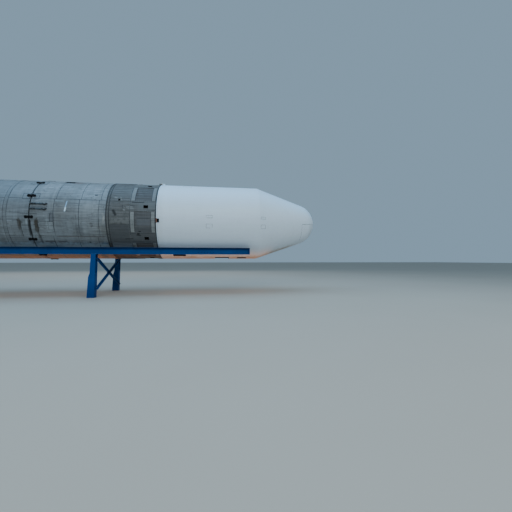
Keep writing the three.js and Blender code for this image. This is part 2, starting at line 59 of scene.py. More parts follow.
WAYS = (-1, 1)
X, Y, Z = Vector((1, 0, 0)), Vector((0, 1, 0)), Vector((0, 0, 1))
AFT, FORE = (-1, 0, 0), (1, 0, 0)

# Stations where the hull's sections meet
BASE_S, SECTION_END, RING_END, INTERSTAGE = 6.510, 8.140, 8.270, 14.900
FIRST_STAGE, INTERTANK, FUEL_TANK, SKIRT, SKIRT_END = 16.700, 21.900, 23.100, 27.100, 28.500


def hull(s, a, r):
    """The point at a station, hull angle and radius."""
    t = math.radians(a)
    return Vector((NOSE_X - s, -r * math.cos(t), AXIS_Z + r * math.sin(t)))


def outward(a):
    """The direction out of the hull at a hull angle."""
    t = math.radians(a)
    return Vector((0, -math.cos(t), math.sin(t)))


def swept(length):
    """The hull angle that a length round the hull covers."""
    return math.degrees(length / R)


def even(first, last, count):
    """Evenly spaced values from first to last, with count steps between them."""
    return [first + (last - first) * i / count for i in range(count + 1)]


def about(middle, half):
    """A range about its middle."""
    return middle - half, middle + half


def sided(side, a, b):
    """A range, mirrored where the side is -1."""
    return sorted((side * a, side * b))


# Camera, at the photograph's place

camera = bpy.data.objects.new("camera", bpy.data.cameras.new("camera"))
bpy.context.scene.collection.objects.link(camera)
camera.location = (NOSE_X - 4.322, -12.317, 1.379)
camera.rotation_euler = (math.radians(90), 0, math.radians(-8.136))
camera.data.sensor_width = 36
camera.data.lens = 19.77
camera.data.shift_y = 4 / 512
camera.data.clip_end = 500
bpy.context.scene.camera = camera


# Materials


class Graph:
    """The node graph of one material, with short calls for its maths."""

    def __init__(self, name):
        self.mat = bpy.data.materials.new(name)
        self.mat.use_nodes = True
        self.tree = self.mat.node_tree
        self.tree.nodes.clear()
        self.shader = self.add("ShaderNodeBsdfPrincipled")
        self.add("ShaderNodeOutputMaterial", self.shader.outputs[0])
        self.pos = self.add("ShaderNodeTexCoord").outputs["Object"]
        self.place = None

    def put(self, socket, value):
        """Links a socket or sets its value. A colour gets its alpha, and None changes nothing."""
        if isinstance(value, bpy.types.NodeSocket):
            self.tree.links.new(value, socket)
        elif value is not None:
            socket.default_value = (*value, 1) if socket.type == "RGBA" else value

    def add(self, kind, *values, **props):
        """A new node with its properties set, and its first inputs linked or given their values."""
        node = self.tree.nodes.new(kind)
        for key, value in props.items():
            setattr(node, key, value)
        for socket, value in zip(node.inputs, values):
            self.put(socket, value)
        return node

    def math(self, op, *values):
        return self.add("ShaderNodeMath", *values, operation=op).outputs[0]

    def times(self, product, *values):
        for value in values:
            product = self.math("MULTIPLY", product, value)
        return product

    def span(self, x, lo, hi, to_lo=0.0, to_hi=1.0, smooth=True):
        """Brings one range of x to another."""
        kind = "SMOOTHSTEP" if smooth else "LINEAR"
        node = self.add("ShaderNodeMapRange", x, lo, hi, to_lo, to_hi, clamp=True, interpolation_type=kind)
        return node.outputs[0]

    def window(self, x, lo, hi, soft):
        """One between lo and hi, falling to nothing over soft on each side."""
        up = self.span(x, lo - soft, lo + soft)
        down = self.span(x, hi - soft, hi + soft, 1.0, 0.0)
        return self.times(up, down)

    def vector(self, *values):
        return self.add("ShaderNodeCombineXYZ", *values).outputs[0]

    def split(self, vector):
        return self.add("ShaderNodeSeparateXYZ", vector).outputs

    def noise(self, scale, vector=None, detail=4.0, rough=0.55, lo=0.0, hi=1.0, stretch=None):
        vector = vector or self.pos
        if stretch:
            vector = self.add("ShaderNodeVectorMath", vector, stretch, operation="MULTIPLY").outputs[0]
        node = self.add("ShaderNodeTexNoise", vector, None, scale, detail, rough)
        return self.span(node.outputs["Fac"], 0.3, 0.7, lo, hi, smooth=False)

    def wander(self, scale, detail, reach):
        """Noise about zero."""
        return self.times(self.math("SUBTRACT", self.noise(scale, detail=detail), 0.5), reach)

    def mix(self, fac, a, b, blend="MIX"):
        node = self.add("ShaderNodeMix", fac, data_type="RGBA", blend_type=blend)
        self.put(node.inputs[6], a)
        self.put(node.inputs[7], b)
        return node.outputs[2]

    def steps(self, x, span, tones):
        """Constant tones between the edges listed as (edge, tone), over a span of x."""
        lo, hi = span
        node = self.add("ShaderNodeValToRGB", self.span(x, lo, hi, smooth=False))
        ramp = node.color_ramp
        ramp.interpolation = "CONSTANT"
        for index, (edge, tone) in enumerate(tones):
            at = (edge - lo) / (hi - lo)
            stop = ramp.elements[index] if index < 2 else ramp.elements.new(at)
            stop.position = at
            stop.color = (tone, tone, tone, 1)
        return node.outputs[0]

    def hull(self):
        """Station, hull angle, and the unrolled place round the hull, which has no seam."""
        if not self.place:
            x, y, z = self.split(self.pos)
            s = self.math("SUBTRACT", NOSE_X, x)
            up = self.math("SUBTRACT", z, AXIS_Z)
            side = self.times(y, -1.0)
            a = self.times(self.math("ARCTAN2", up, side), 180 / math.pi)
            self.place = (s, a, self.vector(s, side, up))
        return self.place

    def finish(self, color, rough, metal=0.0, bump=None, strength=0.2, distance=0.002, **extra):
        shader = self.shader.inputs
        self.put(shader["Base Color"], color)
        self.put(shader["Roughness"], rough)
        self.put(shader["Metallic"], metal)
        for key, value in extra.items():
            self.put(shader[key.replace("_", " ")], value)
        if bump is not None:
            node = self.add("ShaderNodeBump", strength, distance)
            self.put(node.inputs["Height"], bump)
            self.put(shader["Normal"], node.outputs[0])
        return self.mat


def shade(color, k, hue=0.0):
    """A colour made k times as bright, and warmer by its hue."""
    return tuple(min(1, c * k * w) for c, w in zip(color, (1 + hue, 1, 1 - hue)))


def stains_and_painted_light(g, color, rows):
    """Lays stain marks and painted light over a colour: (s range, a range, softness in s and a, tint,
    strength, raggedness).
    """
    s, a, _ = g.hull()
    ragged_s = g.math("ADD", s, g.wander(7.0, 5.0, 0.07))
    ragged_a = g.math("ADD", a, g.wander(9.0, 5.0, 6.0))
    for (s0, s1), (a0, a1), soft_s, soft_a, tint, strength, ragged in rows:
        across, around = (ragged_s, ragged_a) if ragged else (s, a)
        mask = g.times(g.window(across, s0, s1, soft_s), g.window(around, a0, a1, soft_a), strength)
        if ragged:
            mask = g.times(mask, g.noise(ragged, detail=6.0, lo=0.6))
        color = g.mix(mask, color, tint)
    return color


def strokes(g, color, rows):
    """Straight smears from rows of (start s, start a, end s, end a, width, tint, strength)."""
    s, a, _ = g.hull()
    arc = math.radians(1) * R
    ragged = g.wander(14.0, 4.0, 0.011)
    for s0, a0, s1, a1, width, tint, strength in rows:
        run, rise = s1 - s0, (a1 - a0) * arc
        length = math.hypot(run, rise)
        u = g.math("SUBTRACT", s, s0)
        v = g.times(g.math("SUBTRACT", a, a0), arc)
        along = g.math("ADD", g.times(u, run / length), g.times(v, rise / length))
        across = g.math("SUBTRACT", g.times(u, rise / length), g.times(v, run / length))
        band = g.window(g.math("ADD", across, ragged), -width / 2, width / 2, width * 0.35)
        color = g.mix(g.times(g.window(along, 0, length, 0.03), band, strength), color, tint)
    return color


def weathered_and_painted_light(name, base, patch, streak, rough, metal=0.0, grime=(0.06, 0.058, 0.055), dirt=0.25, rows=(),
              smears=(), tones=None, fade=None, broken=1.9, bump=0.15, specular=0.4, hue=0.0):
    """Paint or bare metal on the hull, with patches, streaks along and round it, grime, stain marks and
    painted light.
    """
    g = Graph(name)
    s, a, place = g.hull()
    blotches = g.noise(0.9, detail=6.0, rough=0.6)
    color = g.mix(blotches, shade(base, 1 - patch, hue), shade(base, 1 + patch, -hue))
    along = g.noise(2.6, place, stretch=(0.22, 5.0, 5.0), detail=5.0)
    around = g.noise(2.4, place, stretch=(6.0, 0.5, 0.5), detail=5.0)
    wear = g.math("ADD", g.times(along, 0.6), g.times(around, 0.4))
    color = g.mix(g.span(wear, 0.3, 0.85, 0, streak, smooth=False), color, shade(base, 0.4))
    lines = g.noise(3.2, place, stretch=(0.5, 9.0, 9.0), detail=2.0)
    color = g.mix(g.span(lines, 0.66, 0.95, 0, streak * 0.9), color, shade(base, 0.45))
    color = g.mix(g.span(lines, 0.34, 0.08, 0, streak * 0.45), color, shade(base, 1.7))
    if tones:
        for x, span, table in tones(s, a):
            color = g.mix(1.0, color, g.steps(x, span, table), "MULTIPLY")
    spots = g.times(g.span(g.noise(7, detail=8.0, rough=0.7), 0.62, 0.95), dirt)
    color = g.mix(spots, color, grime)
    if fade:
        color = g.mix(g.span(g.noise(broken, detail=5.0), 0.42, 0.85), color, fade)
    if rows or smears:
        color = strokes(g, stains_and_painted_light(g, color, rows), smears)
    roughness = g.math("ADD", g.times(g.noise(5, detail=5.0), 0.18), rough - 0.09)
    height = g.math("ADD", g.times(g.noise(45, detail=3.0), 0.5), g.noise(2.5, detail=2.0))
    return g.finish(color, roughness, metal, height, bump, 0.004, Specular_IOR_Level=specular)


RUST = (0.050, 0.036, 0.022)
SOOT = (0.012, 0.012, 0.012)
PALE = (0.42, 0.45, 0.46)
SCRATCH = (0.38, 0.42, 0.44)
SCUFF = (0.25, 0.25, 0.24)

TANK_TONES = [(7.0, 1.0), (8.52, 1.06), (9.19, 0.96), (10.0, 1.04), (10.46, 0.92), (10.80, 0.95),
              (11.08, 1.06), (11.60, 1.0), (13.2, 0.95), (14.9, 1.0), (16.7, 0.97), (18.4, 1.05),
              (20.2, 0.96), (21.9, 1.0), (23.1, 0.96), (24.4, 1.05), (25.8, 0.98), (27.1, 1.0)]
AROUND_TONES = [(-180, 1.0), (-151, 0.95), (-118, 1.03), (-80, 0.97), (-28, 1.0), (23, 1.05), (68, 0.98),
                (105, 1.04), (152, 0.96)]


def tank_tones(s, a):
    return [(s, (7.0, 29.0), TANK_TONES), (a, ALL_ROUND, AROUND_TONES)]


TANK_STAINS_AND_PAINTED_LIGHT = [
    ((10.487, 10.590), (-17.5, -7), 0.012, 1.5, RUST, 0.66, 0),
    ((10.478, 10.612), (-22, -6.5), 0.02, 2, RUST, 0.75, 3.0),
    ((10.51, 10.56), (-33, -19), 0.02, 3, RUST, 0.55, 3.0),
    ((11.030, 11.085), (-17.5, -8), 0.012, 1.5, RUST, 0.66, 0),
    ((11.022, 11.125), (-19, -6.5), 0.018, 2, RUST, 0.75, 3.0),
    ((11.035, 11.085), (-29, -18), 0.02, 3, RUST, 0.45, 3.0),
    ((10.712, 10.808), (-27.5, -7.5), 0.010, 1.5, (0.035, 0.032, 0.030), 0.62, 0),
    ((11.00, 16.0), (14, 88), 0.5, 12, (0.125, 0.14, 0.15), 0.5, 0),
    # Painted reflection: a paler, bluer band along the sides just above the rails, for the blue rails and the
    # sky mirrored in the metal.
    ((7.0, 27.2), (-54, -39.5), 0.1, 4, (0.40, 0.50, 0.56), 0.85, 2.0),
    # Painted warm ground-bounce light along the underside, with ragged edges.
    ((7.0, 27.2), (-112, -68), 0.1, 7, (0.38, 0.21, 0.10), 0.75, 2.0),
    ((10.46, 10.52), (-40, -27), 0.02, 3, SOOT, 0.5, 0),
    ((9.35, 9.75), (60, 69), 0.12, 3, (0.16, 0.07, 0.05), 0.8, 3.0),
    ((10.80, 10.88), (-12, -5), 0.03, 2, PALE, 0.45, 0),
    ((9.95, 10.14), (-9, 3), 0.04, 3, (0.07, 0.07, 0.085), 0.55, 3.0),
    ((10.02, 10.24), (-16, -6), 0.04, 3, PALE, 0.35, 14.0),
    ((8.70, 8.80), (-15, -11), 0.03, 1.5, RUST, 0.7, 9.0),
    ((9.05, 9.30), (-26, -14), 0.05, 4, (0.05, 0.05, 0.055), 0.5, 4.0),
    ((8.86, 8.92), (-38.5, -36.5), 0.015, 1, SOOT, 0.8, 0),
    ((8.29, 8.37), (-10, 1), 0.03, 3, (0.38, 0.36, 0.34), 0.7, 12.0),
    ((8.28, 8.42), (-26, -12), 0.04, 5, (0.16, 0.15, 0.13), 0.5, 7.0),
    ((8.60, 9.05), (4, 18), 0.10, 5, PALE, 0.22, 6.0),
    ((14.6, 14.95), ALL_ROUND, 0.1, 5, SOOT, 0.35, 2.0),
    ((20.9, 21.9), ALL_ROUND, 0.5, 5, PALE, 0.30, 2.0),
    ((25.9, 27.1), ALL_ROUND, 0.5, 5, SOOT, 0.30, 2.0),
]
TANK_SMEARS = [
    (9.575, 20.0, 9.617, 6.0, 0.030, (0.36, 0.60, 0.82), 0.9),
    (9.600, 11.0, 9.619, 5.4, 0.044, (0.80, 0.93, 1.0), 0.95),
    (9.68, 19.8, 9.98, 20.6, 0.05, (0.30, 0.34, 0.36), 0.45),
    (11.30, -8.0, 11.50, -8.2, 0.045, (0.34, 0.37, 0.39), 0.5),
    (8.36, -28.6, 9.95, -28.6, 0.034, (0.085, 0.06, 0.045), 0.55),
    (9.262, 0.9, 9.245, -5.3, 0.030, (0.10, 0.085, 0.075), 0.5),
    (11.02, -7.4, 11.16, -7.0, 0.035, RUST, 0.6),
    (11.15, -6.7, 11.75, -6.8, 0.016, (0.10, 0.10, 0.11), 0.6),
    (10.20, 45.3, 10.37, 44.9, 0.035, SCRATCH, 0.6),
    (10.12, -13.4, 10.19, -15.2, 0.030, SCRATCH, 0.7),
    (10.06, -21.6, 10.26, -21.7, 0.028, SCRATCH, 0.55),
    (8.66, -12.2, 8.89, -12.4, 0.022, SCRATCH, 0.55),
    (8.89, -9.8, 9.04, -9.3, 0.020, SCRATCH, 0.4),
    (9.38, -18.5, 9.51, -18.6, 0.020, SCRATCH, 0.5),
    (8.325, -1.0, 8.335, -5.7, 0.030, (0.44, 0.42, 0.38), 0.6),
    (10.52, 19.9, 10.61, 18.9, 0.030, SCRATCH, 0.4),
    (10.14, -39.3, 10.26, -38.7, 0.050, (0.05, 0.075, 0.13), 0.6),
    (8.27, -39.3, 8.50, -38.7, 0.060, (0.06, 0.09, 0.15), 0.5),
    (9.66, -36.4, 9.95, -36.2, 0.040, SOOT, 0.65),
    (10.06, -36.2, 10.40, -36.5, 0.045, SOOT, 0.65),
]
DARK_SMEARS = [
    (8.02, 9.2, 7.91, 1.2, 0.085, (0.020, 0.020, 0.020), 0.95),
    (7.66, 9.8, 7.60, 8.6, 0.05, SCUFF, 0.9),
    (7.68, 14.5, 7.62, 12.0, 0.03, SCUFF, 0.6),
    (7.57, 13.2, 7.34, 13.9, 0.035, SCUFF, 0.75),
    (7.52, 11.0, 7.30, 11.6, 0.03, SCUFF, 0.5),
    (7.70, 16.5, 7.66, 11.5, 0.035, (0.035, 0.035, 0.04), 0.7),
    (7.42, 15.6, 7.30, 15.2, 0.035, (0.04, 0.04, 0.04), 0.7),
    (8.00, 28.5, 7.90, 27.6, 0.06, SCUFF, 0.7),
    (7.80, 29.5, 7.74, 24.0, 0.03, SCUFF, 0.55),
    (7.64, -31.5, 7.36, -31.0, 0.035, (0.022, 0.02, 0.02), 0.8),
    (7.23, -25.3, 7.08, -26.0, 0.045, (0.012, 0.012, 0.012), 0.9),
    (7.07, -19.4, 6.93, -19.4, 0.035, (0.018, 0.018, 0.018), 0.8),
]
BELLY_DUST = ((6.4, 8.3), (-114, -66), 0.2, 9, (0.050, 0.040, 0.033), 0.75, 2.0)
DARK_STAINS_AND_PAINTED_LIGHT = [
    ((7.44, 8.12), (-9, -4), 0.06, 2, (0.20, 0.195, 0.185), 0.65, 3.0),
    ((7.46, 8.14), (-64, -11), 0.04, 1.2, (0.074, 0.075, 0.078), 0.8, 0),
    ((7.44, 8.10), (-11.5, -9.8), 0.05, 0.7, (0.05, 0.05, 0.05), 0.4, 0),
    ((6.55, 7.44), (-64, -22), 0.04, 2, (0.080, 0.080, 0.083), 0.6, 0),
    # Painted reflection: a paler, bluer band just above the rails, for the blue rails and the sky mirrored in
    # the metal.
    ((6.5, 8.2), (-54, -39.5), 0.1, 4, (0.23, 0.25, 0.27), 0.75, 0),
    ((7.30, 8.10), (26, 52), 0.10, 6, (0.135, 0.14, 0.142), 0.6, 2.0),
    ((6.56, 7.10), (9, 22), 0.06, 3, (0.14, 0.15, 0.152), 0.5, 3.0),
    BELLY_DUST,
]
WHITE_STAINS_AND_PAINTED_LIGHT = [
    ((0.0, 0.36), (-60, 0), 0.02, 2, (0.60, 0.62, 0.63), 0.35, 0),
    ((6.30, 6.52), ALL_ROUND, 0.10, 5, (0.55, 0.56, 0.56), 0.30, 3.0),
    # Painted sky light: a blue tint over the fairing's upper side.
    ((-1.0, 8.0), (30, 150), 0.1, 22, (0.61, 0.81, 0.97), 0.75, 0),
    # Painted shade and warm ground-bounce light along the fairing's underside, with ragged edges.
    ((0.9, 6.6), (-112, -68), 0.4, 9, (0.42, 0.27, 0.14), 0.95, 2.0),
]
PANEL_STAINS = [
    ((6.68, 7.30), (-22, -14.5), 0.03, 1.2, (0.075, 0.075, 0.077), 0.7, 0),
    ((6.72, 7.20), (-12.0, -3.5), 0.05, 1.2, (0.135, 0.135, 0.145), 0.6, 0),
    ((6.60, 7.40), (24.5, 51.5), 0.01, 0.5, (0.075, 0.074, 0.076), 0.55, 0),
    ((6.72, 7.20), (-2.4, -0.9), 0.05, 0.5, (0.04, 0.045, 0.055), 0.6, 0),
]
STRIP_STAINS = [((6.4, 7.6), (23, 56), 0.1, 1, (0.15, 0.165, 0.18), 0.45, 0)]
GROOVE_STAINS = [((8.1, 8.3), (-20, 0), 0.1, 4, (0.24, 0.235, 0.215), 0.6, 8.0), BELLY_DUST]

MATERIALS = {
    "white": weathered_and_painted_light("white_paint", (0.74, 0.80, 0.86), 0.025, 0.05, 0.45, 0.0, (0.45, 0.44, 0.42), 0.10,
                       WHITE_STAINS_AND_PAINTED_LIGHT, bump=0.04),
    "tank": weathered_and_painted_light("bare_tank", (0.241, 0.246, 0.250), 0.15, 0.55, 0.50, 0.35, dirt=0.5, rows=TANK_STAINS_AND_PAINTED_LIGHT,
                      smears=TANK_SMEARS, tones=tank_tones, bump=0.25, hue=0.05),
    "doubler": weathered_and_painted_light("doubler", (0.227, 0.232, 0.236), 0.14, 0.55, 0.5, 0.35, dirt=0.5, rows=TANK_STAINS_AND_PAINTED_LIGHT,
                         bump=0.2, hue=0.05),
    "dark": weathered_and_painted_light("dark_section", (0.134, 0.128, 0.123), 0.14, 0.55, 0.58, 0.1, (0.035, 0.035, 0.035),
                      0.5, DARK_STAINS_AND_PAINTED_LIGHT, DARK_SMEARS, bump=0.25, hue=0.04),
    "strip": weathered_and_painted_light("worn_strip", (0.26, 0.255, 0.245), 0.14, 0.5, 0.55, 0.2, (0.05, 0.05, 0.05), 0.5,
                       STRIP_STAINS, bump=0.2),
    "panel": weathered_and_painted_light("sunk_panel", (0.116, 0.110, 0.109), 0.14, 0.45, 0.62, 0.0, (0.03, 0.03, 0.03), 0.4,
                       PANEL_STAINS, bump=0.25),
    "seam": weathered_and_painted_light("seam", (0.035, 0.038, 0.042), 0.2, 0.2, 0.7, fade=(0.15, 0.165, 0.175), bump=0.1),
    "faint": weathered_and_painted_light("faint_seam", (0.13, 0.14, 0.15), 0.1, 0.1, 0.6, fade=(0.60, 0.64, 0.68), broken=6.0,
                       bump=0.05),
    "rim": weathered_and_painted_light("ring_rim", (0.062, 0.061, 0.062), 0.2, 0.3, 0.55, 0.1, rows=[BELLY_DUST]),
    "groove": weathered_and_painted_light("ring_groove", (0.165, 0.165, 0.160), 0.2, 0.4, 0.55, 0.2, rows=GROOVE_STAINS),
    "gap": weathered_and_painted_light("dark_gap", (0.022, 0.024, 0.028), 0.2, 0.2, 0.7, bump=0.1),
    "black": weathered_and_painted_light("black_paint", (0.012, 0.012, 0.013), 0.3, 0.3, 0.62, 0.0, (0.03, 0.025, 0.02), 0.35,
                       bump=0.2, specular=0.0),
}


def plain(name, base, rough, metal, patch, scale, bump, dust=0.0, rust=0.0, tint=None, **extra):
    """A small fitting's finish: patches, fine grain, dust on what faces up and a little rust."""
    g = Graph(name)
    color = g.mix(g.noise(scale, detail=6.0, rough=0.6), shade(base, 1 - patch), shade(base, 1 + patch))
    if tint:
        color = tint(g, color)
    if dust:
        normal = g.add("ShaderNodeNewGeometry").outputs["Normal"]
        up = g.span(g.split(normal)[2], 0.5, 0.95, 0, dust)
        color = g.mix(g.times(up, g.noise(3.0, detail=6.0, lo=0.3)), color, (0.34, 0.33, 0.30))
    if rust:
        spots = g.span(g.noise(scale * 2.2, detail=9.0, rough=0.75), 0.78, 0.98, 0, rust)
        color = g.mix(spots, color, RUST)
    roughness = g.math("ADD", g.times(g.noise(scale * 1.7, detail=5.0), 0.2), rough - 0.1)
    return g.finish(color, roughness, metal, g.noise(scale * 12, detail=3.0), bump, 0.002, **extra)


# A nozzle's heat tints, as (first station, last station, tint, strength)
HEAT = [(27.86, 28.06, (0.22, 0.13, 0.06), 0.7), (28.06, 28.30, (0.10, 0.10, 0.16), 0.6),
        (28.95, 29.4, (0.05, 0.045, 0.04), 0.75)]


def heat_bands(g, color):
    """Heat tints along a nozzle: gold, brown and blue bands, with soot towards the exit."""
    s = g.math("ADD", g.hull()[0], g.noise(4.0, lo=-0.04, hi=0.04))
    for lo, hi, tint, strength in HEAT:
        color = g.mix(g.times(g.window(s, lo, hi, 0.07), strength), color, tint)
    return color


def blue_wear_and_shade(g, color):
    """Run-down streaks and weathering on blue paint, darker at the legs' feet, and a painted shadow along the
    rails' tops.
    """
    streak = g.noise(2.2, stretch=(4.0, 4.0, 0.35), detail=6.0)
    color = g.mix(g.span(streak, 0.5, 1.0, 0, 0.25), color, (0.0, 0.09, 0.27))
    color = g.mix(g.times(g.noise(0.8, detail=6.0), 0.3), color, (0.0, 0.040, 0.15))
    z = g.split(g.pos)[2]
    color = g.mix(g.span(z, 0.75, 0.1, 0, 0.6), color, (0.0, 0.030, 0.14))
    # Painted shadow: all blue above 1.81 m, chiefly the rails' top flanges, is darkened for the shade of the
    # hull and the flanges.
    return g.mix(g.span(z, 1.808, 1.818, 0, 0.7), color, (0.004, 0.020, 0.045))


def quilt(g, color):
    """Blanket squares inside the fairing, with darker stitched lines."""
    s, a, _ = g.hull()
    for x, pitch in ((s, 0.6), (a, 22.5)):
        edge = g.math("ABSOLUTE", g.math("SUBTRACT", g.math("FRACT", g.math("DIVIDE", x, pitch)), 0.5))
        color = g.mix(g.span(edge, 0.47, 0.49, 0, 0.7), color, (0.16, 0.16, 0.15))
    return color


MATERIALS.update({
    "blue": plain("blue_paint", (0.0, 0.062, 0.225), 0.5, 0.0, 0.14, 1.3, 0.08, dust=0.05, rust=0.3,
                  tint=blue_wear_and_shade, Specular_IOR_Level=0.12),
    "steel": plain("engine_steel", (0.34, 0.33, 0.32), 0.38, 0.9, 0.15, 5.0, 0.15, rust=0.3),
    "bell": plain("nozzle_metal", (0.30, 0.27, 0.245), 0.42, 0.85, 0.18, 3.0, 0.15, tint=heat_bands),
    "throat": plain("nozzle_inside", (0.15, 0.13, 0.115), 0.7, 0.2, 0.4, 3.0, 0.3),
    "frame": plain("thrust_frame_paint", (0.25, 0.27, 0.21), 0.5, 0.1, 0.12, 3.0, 0.15, dust=0.3, rust=0.3),
    "pump": plain("pump_casting", (0.36, 0.37, 0.37), 0.5, 0.7, 0.2, 9.0, 0.35),
    "bolt": plain("bolt_heads", (0.26, 0.26, 0.26), 0.42, 0.7, 0.3, 30.0, 0.2, rust=0.4),
    "rod": plain("ground_rod", (0.62, 0.63, 0.65), 0.16, 1.0, 0.05, 20.0, 0.03),
    "rubber": plain("rubber", (0.022, 0.022, 0.024), 0.75, 0.0, 0.3, 20.0, 0.3),
    "quilt": plain("fairing_blanket", (0.50, 0.50, 0.47), 0.8, 0.0, 0.08, 9.0, 0.5, tint=quilt),
    "wrap": plain("pipe_wrap", (0.42, 0.41, 0.39), 0.6, 0.1, 0.15, 14.0, 0.6),
    "pipe": plain("conduit_pipe", (0.088, 0.113, 0.128), 0.5, 0.3, 0.3, 9.0, 0.2, rust=0.3),
    "boot": plain("conduit_boot", (0.027, 0.030, 0.032), 0.6, 0.0, 0.25, 12.0, 0.3),
    "orange": plain("orange_primer", (0.30, 0.10, 0.045), 0.6, 0.0, 0.25, 20.0, 0.3),
    "bulkhead": plain("aft_bulkhead", (0.42, 0.41, 0.36), 0.6, 0.1, 0.15, 3.0, 0.4, dust=0.2),
})


# Mesh building


class Build:
    """Gathers faces into one piece, each with a material of its own or the piece's base material."""

    def __init__(self, name, base):
        self.name, self.base = name, base
        self.verts, self.faces, self.mats, self.normals = [], [], [], []
        self.at = Matrix()

    def add(self, verts, faces, mat=None, normals=None):
        first = len(self.verts)
        self.verts += [self.at @ Vector(v) for v in verts]
        self.faces += [[first + i for i in face] for face in faces]
        self.mats += mat if isinstance(mat, list) else [mat or self.base] * len(faces)
        self.normals += normals or [None] * len(faces)

    def finish(self, slot, body=ROOT, node=None, sharp=35, bevel=None):
        mesh = bpy.data.meshes.new(self.name)
        mesh.from_pydata(self.verts, [], self.faces)
        keys = list(dict.fromkeys(self.mats))
        for key in keys:
            mesh.materials.append(MATERIALS[key])
        mesh.polygons.foreach_set("material_index", [keys.index(key) for key in self.mats])
        mesh.polygons.foreach_set("use_smooth", [True] * len(self.faces))
        if any(self.normals):
            loops = []
            for polygon, given in zip(mesh.polygons, self.normals):
                loops += given or [polygon.normal.copy()] * len(polygon.vertices)
            mesh.normals_split_custom_set([tuple(n) for n in loops])
        else:
            bm = bmesh.new()
            bm.from_mesh(mesh)
            for edge in bm.edges:
                if len(edge.link_faces) == 2 and edge.calc_face_angle(0) > math.radians(sharp):
                    edge.smooth = False
            bm.to_mesh(mesh)
            bm.free()
        piece = bpy.data.objects.new(self.name, mesh)
        bpy.context.scene.collection.objects.link(piece)
        if bevel:
            modifier = piece.modifiers.new("edges", "BEVEL")
            modifier.width, modifier.segments = bevel, 2
            modifier.limit_method, modifier.angle_limit = "ANGLE", math.radians(40)
            modifier.harden_normals = False
        if body:
            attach(piece, body)
        if node:
            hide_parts(node)
        return piece


def basis(direction):
    """A unit direction and two unit vectors across it."""
    d = Vector(direction).normalized()
    u = d.cross(Z if abs(d.z) < 0.9 else X).normalized()
    return d, u, d.cross(u)


def ring(middle, u, v, r, sides, first=0.0, ridges=0, depth=0.0):
    """Points round a middle in the plane of u and v, with ridges where they are asked for."""
    points = []
    for j in range(sides):
        q = first + 2 * math.pi * j / sides
        reach = r + depth * math.cos(ridges * q) if r else 0
        points.append(Vector(middle) + (u * math.cos(q) + v * math.sin(q)) * reach)
    return points


def skin(b, rings, mat=None, caps=False, closed=False):
    """Faces between rings of points, with triangles where a ring is drawn together to one point."""
    n, count = len(rings[0]), len(rings)
    tips = [points[0] == points[1] for points in rings]
    faces = []
    for i in range(count if closed else count - 1):
        here, there = i * n, (i + 1) % count * n
        for j in range(n):
            k = (j + 1) % n
            if tips[i]:
                faces.append((here + j, there + k, there + j))
            elif tips[(i + 1) % count]:
                faces.append((here + j, here + k, there + j))
            else:
                faces.append((here + j, here + k, there + k, there + j))
    if caps:
        faces += [tuple(reversed(range(n))), tuple(range((count - 1) * n, count * n))]
    b.add([p for points in rings for p in points], faces, mat)


def turn(b, start, way, rows, mat=None, sides=24, ridges=0, depth=0.0):
    """Turns rows of (distance from the start, radius) round a line."""
    d, u, v = basis(way)
    rings = [ring(Vector(start) + d * x, u, v, r, sides, 0.0, ridges, depth) for x, r in rows]
    skin(b, rings, mat)


def rod(b, start, end, r, mat=None, sides=16, chamfer=0.15):
    """A round bar with small chamfers at its ends."""
    way = Vector(end) - Vector(start)
    length = way.length
    c = min(r * chamfer, length * 0.2)
    rows = [(0, 0), (0, r - c), (c, r), (length - c, r), (length, r - c), (length, 0)]
    turn(b, start, way, rows, mat, sides)


def tube(b, path, r, mat=None, sides=12):
    """A pipe along a path of points."""
    path = [Vector(p) for p in path]
    u, rings = None, []
    for before, p, after in zip([path[0], *path], path, [*path[1:], path[-1]]):
        d = (after - before).normalized()
        u = u or basis(d)[1]
        u = (u - d * u.dot(d)).normalized()
        rings.append(ring(p, u, d.cross(u), r, sides))
    skin(b, rings, mat, caps=True)


def curve(points, steps=6):
    """A smooth path through points."""
    points = [Vector(p) for p in points]
    ends = [points[0] * 2 - points[1], *points, points[-1] * 2 - points[-2]]
    path = []
    for p0, p1, p2, p3 in zip(ends, ends[1:], ends[2:], ends[3:]):
        for k in range(steps):
            t = k / steps
            path.append(0.5 * (2 * p1 + (p2 - p0) * t + (2 * p0 - 5 * p1 + 4 * p2 - p3) * t * t
                               + (3 * p1 - p0 - 3 * p2 + p3) * t ** 3))
    return [*path, points[-1]]


def stud(b, point, normal, r, h, mat="bolt", sides=6):
    """A bolt or rivet head standing on a surface, with its foot a little below it."""
    d, u, v = basis(normal)
    foot = Vector(point) - d * 0.001
    rows = ((0, r), (h * 0.65, r), (h, r * 0.6))
    skin(b, [ring(foot + d * up, u, v, reach, sides) for up, reach in rows], mat, caps=True)


def stud_ring(b, s, r, count, size, height, first=0.0, normal=None, mat="bolt"):
    """Studs at even angles round the hull's axis, standing outwards unless a direction is given."""
    for k in range(count):
        a = first + 360 * k / count
        stud(b, hull(s, a, r), normal or outward(a), size, height, mat)


def stud_circle(b, middle, normal, r, count, size, height, first=0.0):
    """Studs at even angles on a round face that looks along X or Z."""
    u, v = (X, Y) if normal[2] else (Y, Z)
    for point in ring(middle, u, v, r, count, math.radians(first)):
        stud(b, point, normal, size, height)


def prism(b, outline, place, depth, mat=None):
    """An outline of (u, v) points pushed by depth; place turns (u, v, w) into a point."""
    skin(b, [[place(u, v, w) for u, v in outline] for w in (depth, 0)], mat, caps=True)


def block(b, x, y, z, mat=None):
    """A box from its ranges."""
    corners = [(y[0], z[0]), (y[1], z[0]), (y[1], z[1]), (y[0], z[1])]
    skin(b, [[(i, *corner) for corner in corners] for i in x], mat, caps=True)


